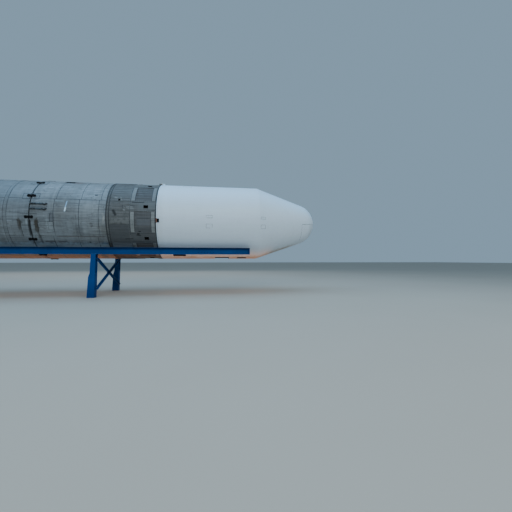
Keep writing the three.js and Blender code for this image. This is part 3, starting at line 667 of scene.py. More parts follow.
def slab(b, s, a, r, mat=None, steps=None):
    """A curved plate on the hull, from its ranges of station, hull angle and radius."""
    corners = [(s[0], r[0]), (s[1], r[0]), (s[1], r[1]), (s[0], r[1])]
    steps = steps or max(1, round(abs(a[1] - a[0]) / 2.25))
    skin(b, [[hull(i, angle, j) for i, j in corners] for angle in even(*a, steps)], mat, caps=True)


def lathe(b, profile, mat=None, sides=SIDES, closed=False):
    """Turns (station, radius) rows round the hull's axis, facing out for rows that run from nose to tail."""
    angles = even(*ALL_ROUND, sides)[:-1]
    skin(b, [[hull(s, a, max(r, 1e-5)) for a in angles] for s, r in profile], mat, closed=closed)


def mirrored(half):
    """A whole outline from its half on the positive side."""
    return [*half, *((-u, v) for u, v in reversed(half))]


def wrapped(rows):
    """Rows of (s0, s1, a0, a1, offset, material) with their angles brought between -180 and 180."""
    for s0, s1, a0, a1, off, mat in rows:
        if a1 - a0 >= 360:
            yield s0, s1, *ALL_ROUND, off, mat
            continue
        shift = 360 * math.floor((a0 + 180) / 360)
        a0, a1 = a0 - shift, a1 - shift
        yield s0, s1, a0, min(a1, 180), off, mat
        if a1 > 180:
            yield s0, s1, -180, a1 - 360, off, mat


def relief(b, s_range, rows, radius=lambda s: R, span=ALL_ROUND, marks=(), caps=(0.08, 0.08), lift=None):
    """The hull's skin between two stations, with sunk and raised fields, seams and openings from rows."""
    rows = list(wrapped(rows))
    full = span == ALL_ROUND
    s_edges = {*s_range, *marks, *(v for row in rows for v in row[:2])}
    s_edges = sorted(v for v in s_edges if s_range[0] <= v <= s_range[1])
    sides = round(SIDES * (span[1] - span[0]) / 360)
    fields = {round(v, 4) for row in rows for v in row[2:4] if span[0] <= v <= span[1]}
    clear = {a for a in (round(v, 4) for v in even(*span, sides)) if all(abs(a - f) > 0.25 for f in fields)}
    a_edges = sorted(clear | fields | {*span})
    ns, na = len(s_edges) - 1, len(a_edges) - 1
    cells = [[(0.0, b.base)] * na for _ in range(ns)]
    for s0, s1, a0, a1, off, mat in rows:
        for i in range(ns):
            if s0 - 1e-6 <= s_edges[i] and s_edges[i + 1] <= s1 + 1e-6:
                for j in range(na):
                    if a0 - 1e-3 <= a_edges[j] and a_edges[j + 1] <= a1 + 1e-3:
                        cells[i][j] = off, mat
    index, verts, faces, mats, normals = {}, [], [], [], []

    def vert(i, j, off):
        key = (i, 0 if full and j == na else j, round(off, 5))
        if key not in index:
            index[key] = len(verts)
            point = hull(s_edges[i], a_edges[key[1]], max(radius(s_edges[i]) + off, 1e-5))
            verts.append(lift(point) if lift else point)
        return index[key]

    def normal(i, j):
        s, step = s_edges[i], 0.004
        slope = (radius(s + step) - radius(max(0, s - step))) / (step + min(s, step))
        return (outward(a_edges[j]) + X * slope).normalized()

    def quad(corners, mat, directions):
        faces.append([vert(*corner) for corner in corners])
        mats.append(mat)
        normals.append(directions)

    for i in range(ns):
        for j in range(na):
            off, mat = cells[i][j]
            corners = [(i, j), (i, j + 1), (i + 1, j + 1), (i + 1, j)]
            quad([(*corner, off) for corner in corners], mat, [normal(*corner) for corner in corners])
            if i + 1 < ns and cells[i + 1][j][0] != off:
                low, other = cells[i + 1][j]
                corners = [(i + 1, j, low), (i + 1, j, off), (i + 1, j + 1, off), (i + 1, j + 1, low)]
                quad(corners, mat if abs(off) > abs(low) else other, [X * (-1 if off > low else 1)] * 4)
            k = (j + 1) % na if full else j + 1
            if k < na and cells[i][k][0] != off:
                low, other = cells[i][k]
                corners = [(i, j + 1, low), (i + 1, j + 1, low), (i + 1, j + 1, off), (i, j + 1, off)]
                upwards = outward((a_edges[j] + a_edges[j + 1]) / 2 + 90)
                quad(corners, mat if abs(off) > abs(low) else other, [upwards * (1 if off > low else -1)] * 4)
    for i, depth, line, facing in ((0, caps[0], cells[0], 1), (ns, caps[1], cells[-1], -1)):
        for j, (off, mat) in enumerate(line if depth else ()):
            corners = [(i, j, off), (i, j, -depth), (i, j + 1, -depth), (i, j + 1, off)]
            quad(corners[::facing], mat, [X * facing] * 4)
    b.add(verts, faces, mats, normals)


def ring_seam(s, width=0.012, depth=-0.004, mat="seam", a=ALL_ROUND):
    return (*about(s, width / 2), *a, depth, mat)


def long_seam(a, s0, s1, width=0.012, depth=-0.004):
    return (s0, s1, *about(a, swept(width / 2)), depth, "seam")


def outline(s0, s1, a0, a1, width=0.008, depth=-0.002, mat="faint"):
    """A thin groove round a plate."""
    wide = swept(width)
    return [(s0, s0 + width, a0, a1, depth, mat), (s1 - width, s1, a0, a1, depth, mat),
            (s0, s1, a0, a0 + wide, depth, mat), (s0, s1, a1 - wide, a1, depth, mat)]


def rivets(b, rows, pitch, r, lift):
    """Rivet heads along rows of (s0, s1, a0, a1), each a straight or ring-shaped line."""
    for s0, s1, a0, a1 in rows:
        length = abs(s1 - s0) + math.radians(abs(a1 - a0)) * R
        count = max(1, round(length / pitch))
        for k in range(count):
            t = (k + 0.5) / count
            a = a0 + (a1 - a0) * t
            stud(b, hull(s0 + (s1 - s0) * t, a, R + lift), outward(a), r, 0.003)


# Nose fairing

CAP, CONE, WALL = 0.888, math.radians(18.9), 0.060
TOUCH_S, TOUCH_R = CAP * (1 - math.sin(CONE)), CAP * math.cos(CONE)
BREAK_S = TOUCH_S + (R - TOUCH_R) / math.tan(CONE)


def fairing_radius(s):
    if s <= TOUCH_S:
        return math.sqrt(max(0.0, CAP ** 2 - (CAP - s) ** 2))
    return min(R, TOUCH_R + (s - TOUCH_S) * math.tan(CONE))


NOSE_MARKS = [CAP * (1 - math.cos(q)) for q in even(0, math.radians(71.1), 18)]
NOSE_MARKS += [*even(TOUCH_S, BREAK_S, 6)[1:6], BREAK_S - 0.1, BREAK_S, BREAK_S + 0.1]
COVERS = [(4.45, 4.69, 0.4, 4.4), (4.45, 4.69, -14, -8), (2.38, 2.58, 0.4, 3.8), (2.38, 2.58, -14, -8),
          (5.30, 5.62, 62, 72), (5.30, 5.62, -72, -62)]
LOWER_ROWS = [
    (0.03, 0.72, -5.7, -4.8, -0.004, "seam"), (0.03, 0.72, -175.2, -174.3, -0.004, "seam"),
    (0.72, 0.728, -55, -6, -0.002, "faint"), (0.72, 0.728, -174, -125, -0.002, "faint"),
    (3.04, 3.43, -81.5, -73.5, -0.029, "black"), (3.04, 3.43, -106.5, -98.5, -0.029, "black"),
    (3.77, 4.36, -106.7, -73.3, -0.029, "black"), (5.524, 6.019, -68.4, -60.2, -0.029, "black"),
    (5.524, 6.019, -119.8, -111.6, -0.029, "black"),
]


def fairing_half(node, body, span, base, split, rows):
    """One half of the fairing, with its skin, its lined inside and its flat parting faces."""
    b = Build(node + "_shell", "white")
    upper = span[0] == 0

    def lift(p):
        """Brings the parting edge to its height."""
        if upper:
            p.z = max(p.z, split)
        elif p.z > AXIS_Z - 1e-4:
            p.z = split
        return p

    def corner(s, a, r):
        return lift(hull(s, a, max(r, 1e-5)))

    grooves = [ring_seam(6.47, 0.006, -0.002, "faint")]
    for s0, s1, a0, a1 in COVERS:
        grooves += outline(s0, s1, a0, a1, 0.010) + outline(s0, s1, 180 - a1, 180 - a0, 0.010)
    relief(b, (0.0, base), grooves + rows, fairing_radius, span, NOSE_MARKS, (0, WALL), lift)
    inner, outer = [(WALL, 0.0)], [(0.0, 0.0)]
    for s in NOSE_MARKS[1:]:
        thickness = WALL * (0.55 + 0.45 * min(1, s / TOUCH_S))
        inner.append((s + WALL, max(0.0, fairing_radius(s) - thickness)))
        outer.append((s, fairing_radius(s)))
    inner.append((base, R - WALL))
    outer.append((base, R))
    angles = even(*span, 90)
    n = len(angles)
    verts = [corner(s, a, r) for s, r in inner for a in angles]
    faces = [(i + j, i + n + j, i + n + j + 1, i + j + 1)
             for i in range(0, len(verts) - n, n) for j in range(n - 1)]
    normals = [[Vector((0, -verts[v].y, AXIS_Z - verts[v].z)).normalized() for v in face] for face in faces]
    b.add(verts, faces, "quilt", normals)
    for a, way in zip(span, (1, -1)):
        for p, q, u, v in zip(outer, outer[1:], inner, inner[1:]):
            quad = [corner(s, a, r) for s, r in (p, q, v, u)]
            b.add(quad, [(0, 1, 2, 3)[::way]], None, [[Z * (-1 if upper else 1)] * 4])
    b.finish("white", body, node)


fairing_half("fairing_upper", "fairing_upper", (0, 180), BASE_S - 0.005, AXIS_Z + 0.005, [])
fairing_half("fairing_lower", ROOT, (-180, 0), BASE_S - GAP, AXIS_Z + 0.0045, LOWER_ROWS)

HINGE_X, HINGE_Z = NOSE_X - BASE_S, AXIS_Z + R + 0.020
HINGE_HEIGHTS = (HINGE_Z - 0.045, HINGE_Z + 0.012)

arms = Build("fairing_hinge_arms", "white")
forks = Build("fairing_hinge_forks", "dark")


def hinge_pin(b, y, r, sides=24, chamfer=0.15):
    rod(b, (HINGE_X, y[0], HINGE_Z), (HINGE_X, y[1], HINGE_Z), r, "steel", sides, chamfer)


for y in (-0.26, 0.26):
    block(arms, (HINGE_X + 0.008, HINGE_X + 0.11), about(y, 0.03), HINGE_HEIGHTS)
    hinge_pin(arms, about(y, 0.03), 0.028)
    for ahead in (0.045, 0.085):
        stud(arms, (HINGE_X + ahead, y, HINGE_HEIGHTS[1]), Z, 0.011, 0.007)
    hinge_pin(forks, about(y, 0.052), 0.013, 16)
    for end in WAYS:
        cheek = sorted((y + end * 0.031, y + end * 0.047))
        hinge_pin(forks, cheek, 0.028, 24, 0.06)
        block(forks, (HINGE_X - 0.11, HINGE_X - 0.008), cheek, HINGE_HEIGHTS)
        stud(forks, (HINGE_X, y + end * 0.050, HINGE_Z), (0, end, 0), 0.018, 0.010)
arms.finish("white", "fairing_upper")
forks.finish("dark")

latch = Build("fairing_latch", "black")
slab(latch, (6.400, 6.474), (-6.9, -1.9), (R - 0.01, R + 0.038))
slab(latch, (6.412, 6.462), (-6.3, -2.5), (R + 0.038, R + 0.044))
slab(latch, (6.478, 6.508), (-7.6, -1.2), (R - 0.004, R + 0.009), "orange")
for a in (-7.2, -1.6):
    stud(latch, hull(6.493, a, R + 0.009), outward(a), 0.008, 0.005)
latch.finish("black")

# Payload adapter, seen with the fairing open

adapter = Build("adapter_cone", "tank")
cone = [(5.96, 0.56), (5.96, 0.66), (6.005, 0.66), (6.005, 0.635), (6.02, 0.625), (6.46, 1.035), (6.47, 1.05),
        (6.509, 1.05), (6.509, 0.98), (6.46, 0.97), (6.03, 0.58), (6.02, 0.56)]
lathe(adapter, cone, sides=96, closed=True)
for k in range(24):
    a = 15 * k + 7.5
    tube(adapter, [hull(6.03, a, 0.632), hull(6.455, a, 1.036)], 0.010, sides=6)
stud_ring(adapter, 6.49, 1.05, 24, 0.010, 0.006, 7.5)
stud_ring(adapter, 5.96, 0.61, 24, 0.010, 0.006, 7.5, FORE)
for a in (0, 90, 180, 270):
    slab(adapter, (5.975, 5.995), (a + 5, a + 85), (0.66, 0.668), "black", 30)
adapter.finish("grey", node="payload_adapter")

deck = Build("forward_deck", "frame")
lathe(deck, [(6.5105, 0.002), (6.5105, 0.93), (6.5105, 1.46)], sides=96)
for k in range(10):
    a = 36 * k + 12
    slab(deck, (6.47, BASE_S), (a, a + 12), (1.14, 1.32), "black" if k % 3 else "frame", 4)
deck.finish("dark")

# Equipment section

section = Build("equipment_skin", "dark")
rows = [(BASE_S, 6.536, *ALL_ROUND, 0.004, "gap"), (8.098, 8.140, *ALL_ROUND, 0.004, "dark")]
rows.append(ring_seam(7.440))
rows += [(7.455, 8.092, *about(4.5 * k - 180, 0.17), 0.006, "dark") for k in range(80)]
for t in range(0, 360, 45):
    for s0, s1, top in ((7.285, 7.415, 6.4), (6.560, 6.680, 7.0)):
        rows += [(s0 - 0.012, s1 + 0.012, t - 21.4, t + top, 0.0, "gap"),
                 (s0, s1, t - 21.4, t + top, 0.006, "strip")]
    rows.append((6.690, 7.280, t - 21.5, t + 7.5, -0.016, "panel"))
    rows += [(6.70, 7.27, *about(t + a, 0.13), -0.010, "panel") for a in (-16.7, -11.8, -7, -2.2, 2.7)]
    # A raised frame round each opening, whose black floor stands in for the shade inside it (painted shade),
    # and two long seams.
    rows += [(6.782, 6.978, *about(t + 14.5, 2.8), 0.004, "dark"),
             (6.80, 6.96, *about(t + 14.5, 2.2), -0.155, "black"),
             long_seam(t + 9.5, 6.545, 7.43), long_seam(t - 23.2, 6.545, 7.43)]
rows += [(7.795, 7.865, 23.0, 25.6, -0.05, "black"), (7.07, 7.15, -20.6, -19.8, -0.012, "black"),
         (7.12, 7.20, -24.4, -23.2, -0.012, "black"), (6.95, 7.37, 20.4, 21.2, -0.010, "gap")]
relief(section, (BASE_S + GAP, SECTION_END - GAP), rows)
section.finish("dark", node="equipment_section")

fasteners = Build("equipment_fasteners", "bolt")
lines = [(s, s, *ALL_ROUND) for s in (6.522, 8.119, 7.4475)]
for t in range(-180, 180, 45):
    lines += [(6.71, 7.26, t + a, t + a) for a in (8.4, -22.4)]
    lines += [(6.80, 6.96, t + a, t + a) for a in (11.2, 17.8)]
rivets(fasteners, lines, 0.07, 0.006, 0.001)
fasteners.finish("dark")

# Field ring and joint ring

# Profiles of (station, height over the hull)
FIELD = [
    ("gap", [(8.1402, -0.075), (8.1402, -0.004), (8.151, -0.004)]),
    ("rim", [(8.151, -0.004), (8.151, 0.005), (8.154, 0.007), (8.180, 0.007), (8.183, 0.004),
             (8.184, -0.012)]),
    ("groove", [(8.184, -0.012), (8.226, -0.012)]),
    ("rim", [(8.226, -0.012), (8.227, 0.004), (8.230, 0.007), (8.255, 0.007), (8.258, 0.005),
             (8.258, -0.004)]),
    ("gap", [(8.258, -0.004), (RING_END - GAP, -0.004), (RING_END - GAP, -0.075)]),
]
JOINT = [
    ("doubler", [(10.7305, -0.02), (10.7305, -0.002), (10.741, -0.002), (10.741, -0.045)]),
    ("black", [(10.741, -0.045), (10.779, -0.045)]),
    ("doubler", [(10.779, -0.045), (10.779, -0.002), (10.7895, -0.002), (10.7895, -0.02)]),
]

field = Build("field_joint_ring", "rim")
for mat, profile in FIELD:
    lathe(field, [(s, R + up) for s, up in profile], mat)
stud_ring(field, 8.205, R - 0.012, 72, 0.010, 0.006, mat="seam")
field.finish("black", node="field_ring", sharp=50)

GAP_S = 10.760
STRAP_EDGE = [(0.030, 0.036), (0.060, 0.040), (0.080, 0.048), (0.104, 0.050), (0.124, 0.044), (0.133, 0.028),
              (0.1335, 0)]
STRAP_END = STRAP_EDGE + [(u, -v) for u, v in reversed(STRAP_EDGE[:-1])]
STRAP = sorted(STRAP_END + [(-u, -v) for u, v in STRAP_END], key=lambda p: math.atan2(p[1], p[0]))
STRAP_ANGLES = [30 * k - 3 for k in range(12)]

joint = Build("joint_gap_ring", "black")
for mat, profile in JOINT:
    lathe(joint, [(s, R + up) for s, up in profile], mat)
for a in STRAP_ANGLES:
    prism(joint, STRAP, lambda u, v, w: hull(GAP_S + u, a + swept(v), R + 0.0015 + w), 0.030)
    slab(joint, about(GAP_S, 0.024), about(a, 1.7), (R - 0.05, R + 0.012), steps=2)
    for s in about(GAP_S, 0.1):
        stud(joint, hull(s, a, R + 0.0315), outward(a), 0.020, 0.010, "black")
joint.finish("black", node="joint_ring")

# Tank sections

LONG = (23, -28, 68, 105, 152, -80, -118, -151)
SECTORS = [(-180, -151, 0.0), (-151, -118, 0.05), (-118, -80, -0.04), (-80, -28, 0.08), (-28, 23, 0.0),
           (23, 68, -0.05), (68, 105, 0.03), (105, 152, -0.06), (152, 180, 0.0)]
# Each tank's first and last station and its ring seams
TANKS = {
    "upper_tank": (RING_END + GAP, 10.7297, [8.50, 9.165, 9.99]),
    "lower_tank": (10.7903, INTERSTAGE - GAP, [12.52, 13.45, 14.38]),
    "oxidizer_tank": (FIRST_STAGE + GAP, INTERTANK - GAP, [17.35, 19.6, 20.7, 21.35]),
    "fuel_tank": (FUEL_TANK + GAP, 27.0994, [23.75, 25.6, 26.5]),
}


def staggered(s):
    """A ring seam that steps from plate to plate, as (s, a0, a1)."""
    return [(s + shift, a0, a1) for a0, a1, shift in SECTORS]


def tank(node, extra):
    s0, s1, rings = TANKS[node]
    rows = [ring_seam(s, 0.015, a=(a0, a1)) for middle in rings for s, a0, a1 in staggered(middle)]
    edges = [s0, *rings, s1]
    for k, a in enumerate(LONG):
        rows.append(long_seam(a, s0, s1))
        for i, (p, q) in enumerate(zip(edges, edges[1:])):
            if (i + k) % 3 == 1 and q - p > 0.5:
                rows.append(long_seam(a + 11 + 3 * (i % 2), p, q, 0.008, -0.002))
    b = Build(node + "_skin", "tank")
    relief(b, (s0, s1), [*rows, *extra(s0, s1)])
    b.finish("grey", node=node)


def doublers(s0, s1):
    """Raised plates under the straps, with dark grooves round them."""
    plates = [(side - 37.5, side + 1.6) for side in HALVES]
    rows = [(s0, s1, *a, 0.003, "doubler") for a in plates]
    for a in plates:
        rows += outline(s0, s1, *a, 0.013, -0.003, "gap")
    for k, a in enumerate(STRAP_ANGLES):
        rows.append((s0, s1, *about(a, 4.2), 0.003, "doubler"))
        if k % 6 not in (0, 5):
            rows += outline(s0, s1, a - 5.0, a + 4.2, 0.013, -0.003, "gap")
    return rows


def band(s):
    """A double ring seam with a raised hoop between its two lines."""
    return [ring_seam(s - 0.0575), ring_seam(s + 0.0575), (*about(s, 0.0515), *ALL_ROUND, 0.004, "doubler")]


def lip(s0, s1, height=0.004, mat="tank"):
    return (s0, s1, *ALL_ROUND, height, mat)


def cover(s0, s1, a0, a1):
    return [(s0, s1, a0, a1, 0.004, "doubler"), *outline(s0, s1, a0 - 0.5, a1 + 0.5, 0.010, -0.002, "seam")]


def upper_rows(s0, s1):
    lines = [(-8.6, 9.99, 10.45), (33, 8.45, 8.97), (16.7, 9.20, 9.50), (12.8, 8.40, 8.50)]
    return [lip(s0, 8.31), (8.60, 8.70, 30.4, 32, -0.012, "gap"), (10.094, 10.108, -9, 2, -0.004, "seam"),
            *(long_seam(*line, 0.010, -0.002) for line in lines),
            *outline(9.995, 10.17, -20, -8, 0.008, -0.002, "seam"),
            (9.63, 10.02, 60.6, 71.4, 0.005, "doubler"), (9.66, 9.99, 62, 70, -0.044, "black"),
            (9.66, 9.99, 65.6, 66.4, -0.03, "strip"), *doublers(10.50, s1)]


tank("upper_tank", upper_rows)
tank("lower_tank", lambda s0, s1: [*doublers(s0, 11.04), *band(11.5275), lip(14.83, s1),
                                   long_seam(3, 11.05, 11.45, 0.010, -0.002)])
tank("oxidizer_tank", lambda s0, s1: [*band(18.46), lip(s0, 16.76), lip(21.84, s1),
                                      *cover(17.5, 17.82, 30, 42)])
tank("fuel_tank", lambda s0, s1: [*band(24.49), lip(s0, 23.16), *cover(26.7, 27.0, 28, 40)])


def stringers(s0, s1, width=0.010, skip=()):
    angles = [4.5 * (k + 0.5) - 180 for k in range(80)]
    return [(s0, s1, *about(a, swept(width / 2)), 0.009, "dark")
            for a in angles if not any(p <= a <= q for p, q in skip)]


def flanged(node, s0, s1, seams, rows):
    b = Build(node + "_skin", "dark")
    flanges = [lip(s0, s0 + 0.06, 0.012, "dark"), lip(s1 - 0.06, s1, 0.012, "dark")]
    relief(b, (s0, s1), [*rows, *flanges, *(ring_seam(s) for s in seams)])
    b.finish("dark", node=node)


VENT_ANGLES = [22.5 + 45 * k - 180 for k in range(8)]
rows = [*stringers(15.0, 15.29), *stringers(16.22, 16.6)]
rows += stringers(15.31, 16.19, skip=[about(a, 7.5) for a in VENT_ANGLES])
for a in VENT_ANGLES:
    # Each vent's black floor stands in for the shade inside it (painted shade).
    rows += [(15.39, 16.11, *about(a, 7.0), 0.006, "dark"), (15.42, 16.08, *about(a, 6.2), -0.235, "black")]
flanged("interstage", INTERSTAGE + GAP, FIRST_STAGE - GAP, [15.3, 16.2], rows)
rows = [*stringers(22.04, 22.96), (22.3, 22.7, -14, 4, 0.012, "strip"),
        (22.34, 22.66, -12.2, 2.2, 0.006, "panel")]
flanged("intertank", INTERTANK + GAP, FUEL_TANK - GAP, [22.02, 22.98], rows)

louvres = Build("vent_louvres", "seam")
for a in VENT_ANGLES:
    for i in range(7):
        s = 15.465 + 0.093 * i
        slab(louvres, (s, s + 0.006), about(a, 6.2), (R - 0.07, R - 0.004), steps=4)
        slab(louvres, (s, s + 0.05), about(a, 6.2), (R - 0.075, R - 0.069), steps=4)
louvres.finish("dark")

hull_bolts = Build("hull_bolts", "bolt")
for s in (14.93, 16.67, 21.93, 23.07):
    stud_ring(hull_bolts, s, R + 0.012, 72, 0.011, 0.008, first=2.5)
lines = [(s, s, *ALL_ROUND) for s in (10.70, 10.82, 11.528, 14.86, 16.73, 18.46, 21.87, 23.13, 24.49, 27.07)]
for _, _, rings in TANKS.values():
    for middle in rings:
        lines += [(s + off, s + off, a0, a1) for s, a0, a1 in staggered(middle) for off in (-0.02, 0.02)]
for a in LONG:
    lines += [(8.33, 10.42, a + 0.7, a + 0.7), (11.62, 14.8, a + 0.7, a + 0.7)]
rivets(hull_bolts, lines, 0.11, 0.0055, 0.0005)
hull_bolts.finish("grey")

# Conduits and their clamps, on both sides

# Paths of (station, turn round the hull, height over it)
BOW = [(10.745, 0, -0.02), (10.735, 0, 0.010), (10.705, 0, 0.030), (10.66, 0, 0.031), (10.53, 0, 0.031),
       (10.335, 0, 0.031)]
BOOT = [(10.345, 0.0, 0.031), (10.315, -0.4, 0.031), (10.280, -0.9, 0.030), (10.250, -0.7, 0.028),
        (10.230, 0.2, 0.022), (10.222, 0.6, -0.01)]
for name, half_turn in (("conduits_right", 0), ("conduits_left", 180)):
    pair = Build(name.replace("conduits", "conduit_pipes"), "pipe")
    for a in (8 + half_turn, 15 + half_turn):
        for path, r, mat in ((BOW, 0.024, "pipe"), (BOOT, 0.029, "boot")):
            tube(pair, curve([hull(s, a + aside, R + up) for s, aside, up in path], 5), r, mat, 16)
        rod(pair, hull(10.742, a, R + 0.012), hull(10.700, a, R + 0.031), 0.030, "boot", 20)
        rod(pair, hull(10.700, a, R + 0.031), hull(10.545, a, R + 0.031), 0.029, "boot", 20)
    middle = 11.5 + half_turn
    start, end = (hull(s, middle - 0.8, R + 0.010) for s in (10.70, 10.27))
    rod(pair, start, end, 0.009, "doubler", 10)
    stud(pair, hull(10.200, middle + 0.3, R), outward(middle), 0.016, 0.010, "boot")
    for s in (10.42, 10.61):
        slab(pair, about(s, 0.02), about(middle, 5.0), (R + 0.0005, R + 0.006), "doubler", 6)
        for a in about(middle, 3.5):
            hoop = [hull(s, a + swept(0.031 * math.cos(q)), R + 0.031 + 0.027 * math.sin(q))
                    for q in even(0, math.pi, 10)]
            tube(pair, [hull(s, a + 1.17, R + 0.002), *hoop, hull(s, a - 1.17, R + 0.002)], 0.006, sides=8)
        for a in (middle - 4.7, middle, middle + 4.7):
            stud(pair, hull(s, a, R + 0.006), outward(a), 0.009, 0.006)
    pair.finish("steel", node=name)

# Raceways

DUCT_A = 117
ACROSS = outward(DUCT_A + 90)
for name, node, first, last in (("raceway_cover_second", "raceway_second_stage", 10.9, 14.88),
                                ("raceway_cover_first", "raceway_first_stage", 16.72, 27.06)):
    duct = Build(name, "tank")
    joints = even(first, last, round(last - first))
    for s0, s1 in zip(joints, joints[1:]):
        p, q = s0 + 0.004, s1 - 0.004
        # the intertank's flanges and stringers stand proud of the hull
        foot = R + (0.013 if p < FUEL_TANK and q > INTERTANK else 0.0)
        cross_section = mirrored([(0.09, foot - 0.003), (0.088, R + 0.03), (0.06, R + 0.077)])
        prism(duct, cross_section, lambda v, r, w: hull(p + w, DUCT_A, r) + ACROSS * v, q - p)
        strap = mirrored([(0.094, foot + 0.001), (0.092, R + 0.031), (0.062, R + 0.0815)])
        for s in (p + 0.02, q - 0.02):
            prism(duct, strap, lambda v, r, w: hull(s - 0.015 + w, DUCT_A, r) + ACROSS * v, 0.03, "seam")
            for v in (-0.035, 0.035):
                stud(duct, hull(s, DUCT_A, R + 0.0815) + ACROSS * v, outward(DUCT_A), 0.008, 0.005)
    duct.finish("grey", node=node, bevel=0.003)

# Aft skirt and the bulkhead inside it

skirt = Build("aft_skirt_shell", "dark")
rows = [lip(SKIRT, 27.17, 0.012, "dark"), lip(28.43, SKIRT_END, 0.014, "dark"), ring_seam(27.19),
        ring_seam(28.0), *stringers(27.21, 27.99, 0.014), *stringers(28.02, 28.41, 0.014)]
relief(skirt, (SKIRT, SKIRT_END), rows, caps=(0.0695, 0.0695))
SKIRT_R = 1.4555
inside = [(SKIRT_END, SKIRT_R)]
for back, front, r in ((28.46, 28.40, 1.425), (28.02, 27.98, 1.420), (27.62, 27.58, 1.420)):
    inside += [(back, SKIRT_R), (back, r), (front, r), (front, SKIRT_R)]
lathe(skirt, [*inside, (SKIRT, SKIRT_R)], "frame")
for a in range(0, 360, 10):
    for s in ((27.63, 27.97), (28.03, 28.39)):
        slab(skirt, s, about(a, 0.35), (1.435, SKIRT_R), "frame", 1)
stud_ring(skirt, 27.135, R + 0.012, 72, 0.011, 0.008)
stud_ring(skirt, 28.465, R + 0.014, 72, 0.011, 0.008)
stud_ring(skirt, SKIRT_END, R - 0.03, 72, 0.010, 0.006, 2.5, AFT)
skirt.finish("dark", node="aft_skirt", sharp=30)

bulkhead = Build("aft_bulkhead_blanket", "bulkhead")
blanket = [(27.1005, 1.4545), (27.1005, 1.42), (27.110, 1.40), (27.113, 1.10), (27.109, 1.08), (27.113, 1.06),
           (27.116, 0.62), (27.110, 0.60), (27.116, 0.58), (27.118, 0.0)]
lathe(bulkhead, blanket, sides=96)
for a in range(0, 360, 15):
    tube(bulkhead, [hull(27.112, a, 1.39), hull(27.116, a, 0.34)], 0.004, "seam", 6)
bulkhead.finish("steel")

# Thrust frame

HINGE_S, HINGE_OUT = 27.520, 0.9  # the engines' hinges: station and distance from the hull's axis


def engine_frame(k):
    """The frame of one engine: X along the rocket from its hinge, Y sideways, Z outwards."""
    turned = Matrix.Rotation(math.radians(45 + 90 * k), 4, "X")
    return Matrix.Translation((NOSE_X - HINGE_S, 0, AXIS_Z)) @ turned @ Matrix.Translation((0, 0, HINGE_OUT))


def arc(cx, cy, r, a0, a1, steps):
    """Points along a part of a circle."""
    angles = even(math.radians(a0), math.radians(a1), steps)
    return [(cx + r * math.cos(q), cy + r * math.sin(q)) for q in angles]


def plate(b, shape, z, mat=None):
    """A flat plate from an outline in the engine's X and Y, between two heights."""
    prism(b, shape, lambda u, v, w: (u, v, z[0] + w), z[1] - z[0], mat)


thrust = Build("thrust_structure", "frame")
OUT = 1.4545
rim = [(27.1205, 1.366), (27.1205, OUT), (27.3995, OUT), (27.3995, 1.366), (27.384, 1.366), (27.384, 1.436),
       (27.136, 1.436), (27.136, 1.366)]
lathe(thrust, rim, closed=True)
for k in range(32):
    slab(thrust, (27.137, 27.383), about(11.25 * k + 5.6, 0.25), (1.372, 1.437), steps=1)
stud_ring(thrust, 27.3995, 1.41, 72, 0.010, 0.007, normal=AFT)
hub = [(27.1205, 0.02), (27.1205, 0.33), (27.16, 0.33), (27.165, 0.31), (27.33, 0.31), (27.335, 0.33),
       (27.37, 0.33), (27.372, 0.325), (27.372, 0.22), (27.365, 0.21), (27.35, 0.20), (27.35, 0.09),
       (27.37, 0.08), (27.372, 0.02)]
lathe(thrust, hub, sides=64)
stud_ring(thrust, 27.372, 0.272, 24, 0.014, 0.010, 7.5, AFT)
rod(thrust, hull(27.34, 0, 0), hull(27.378, 0, 0), 0.078, "steel", 24)

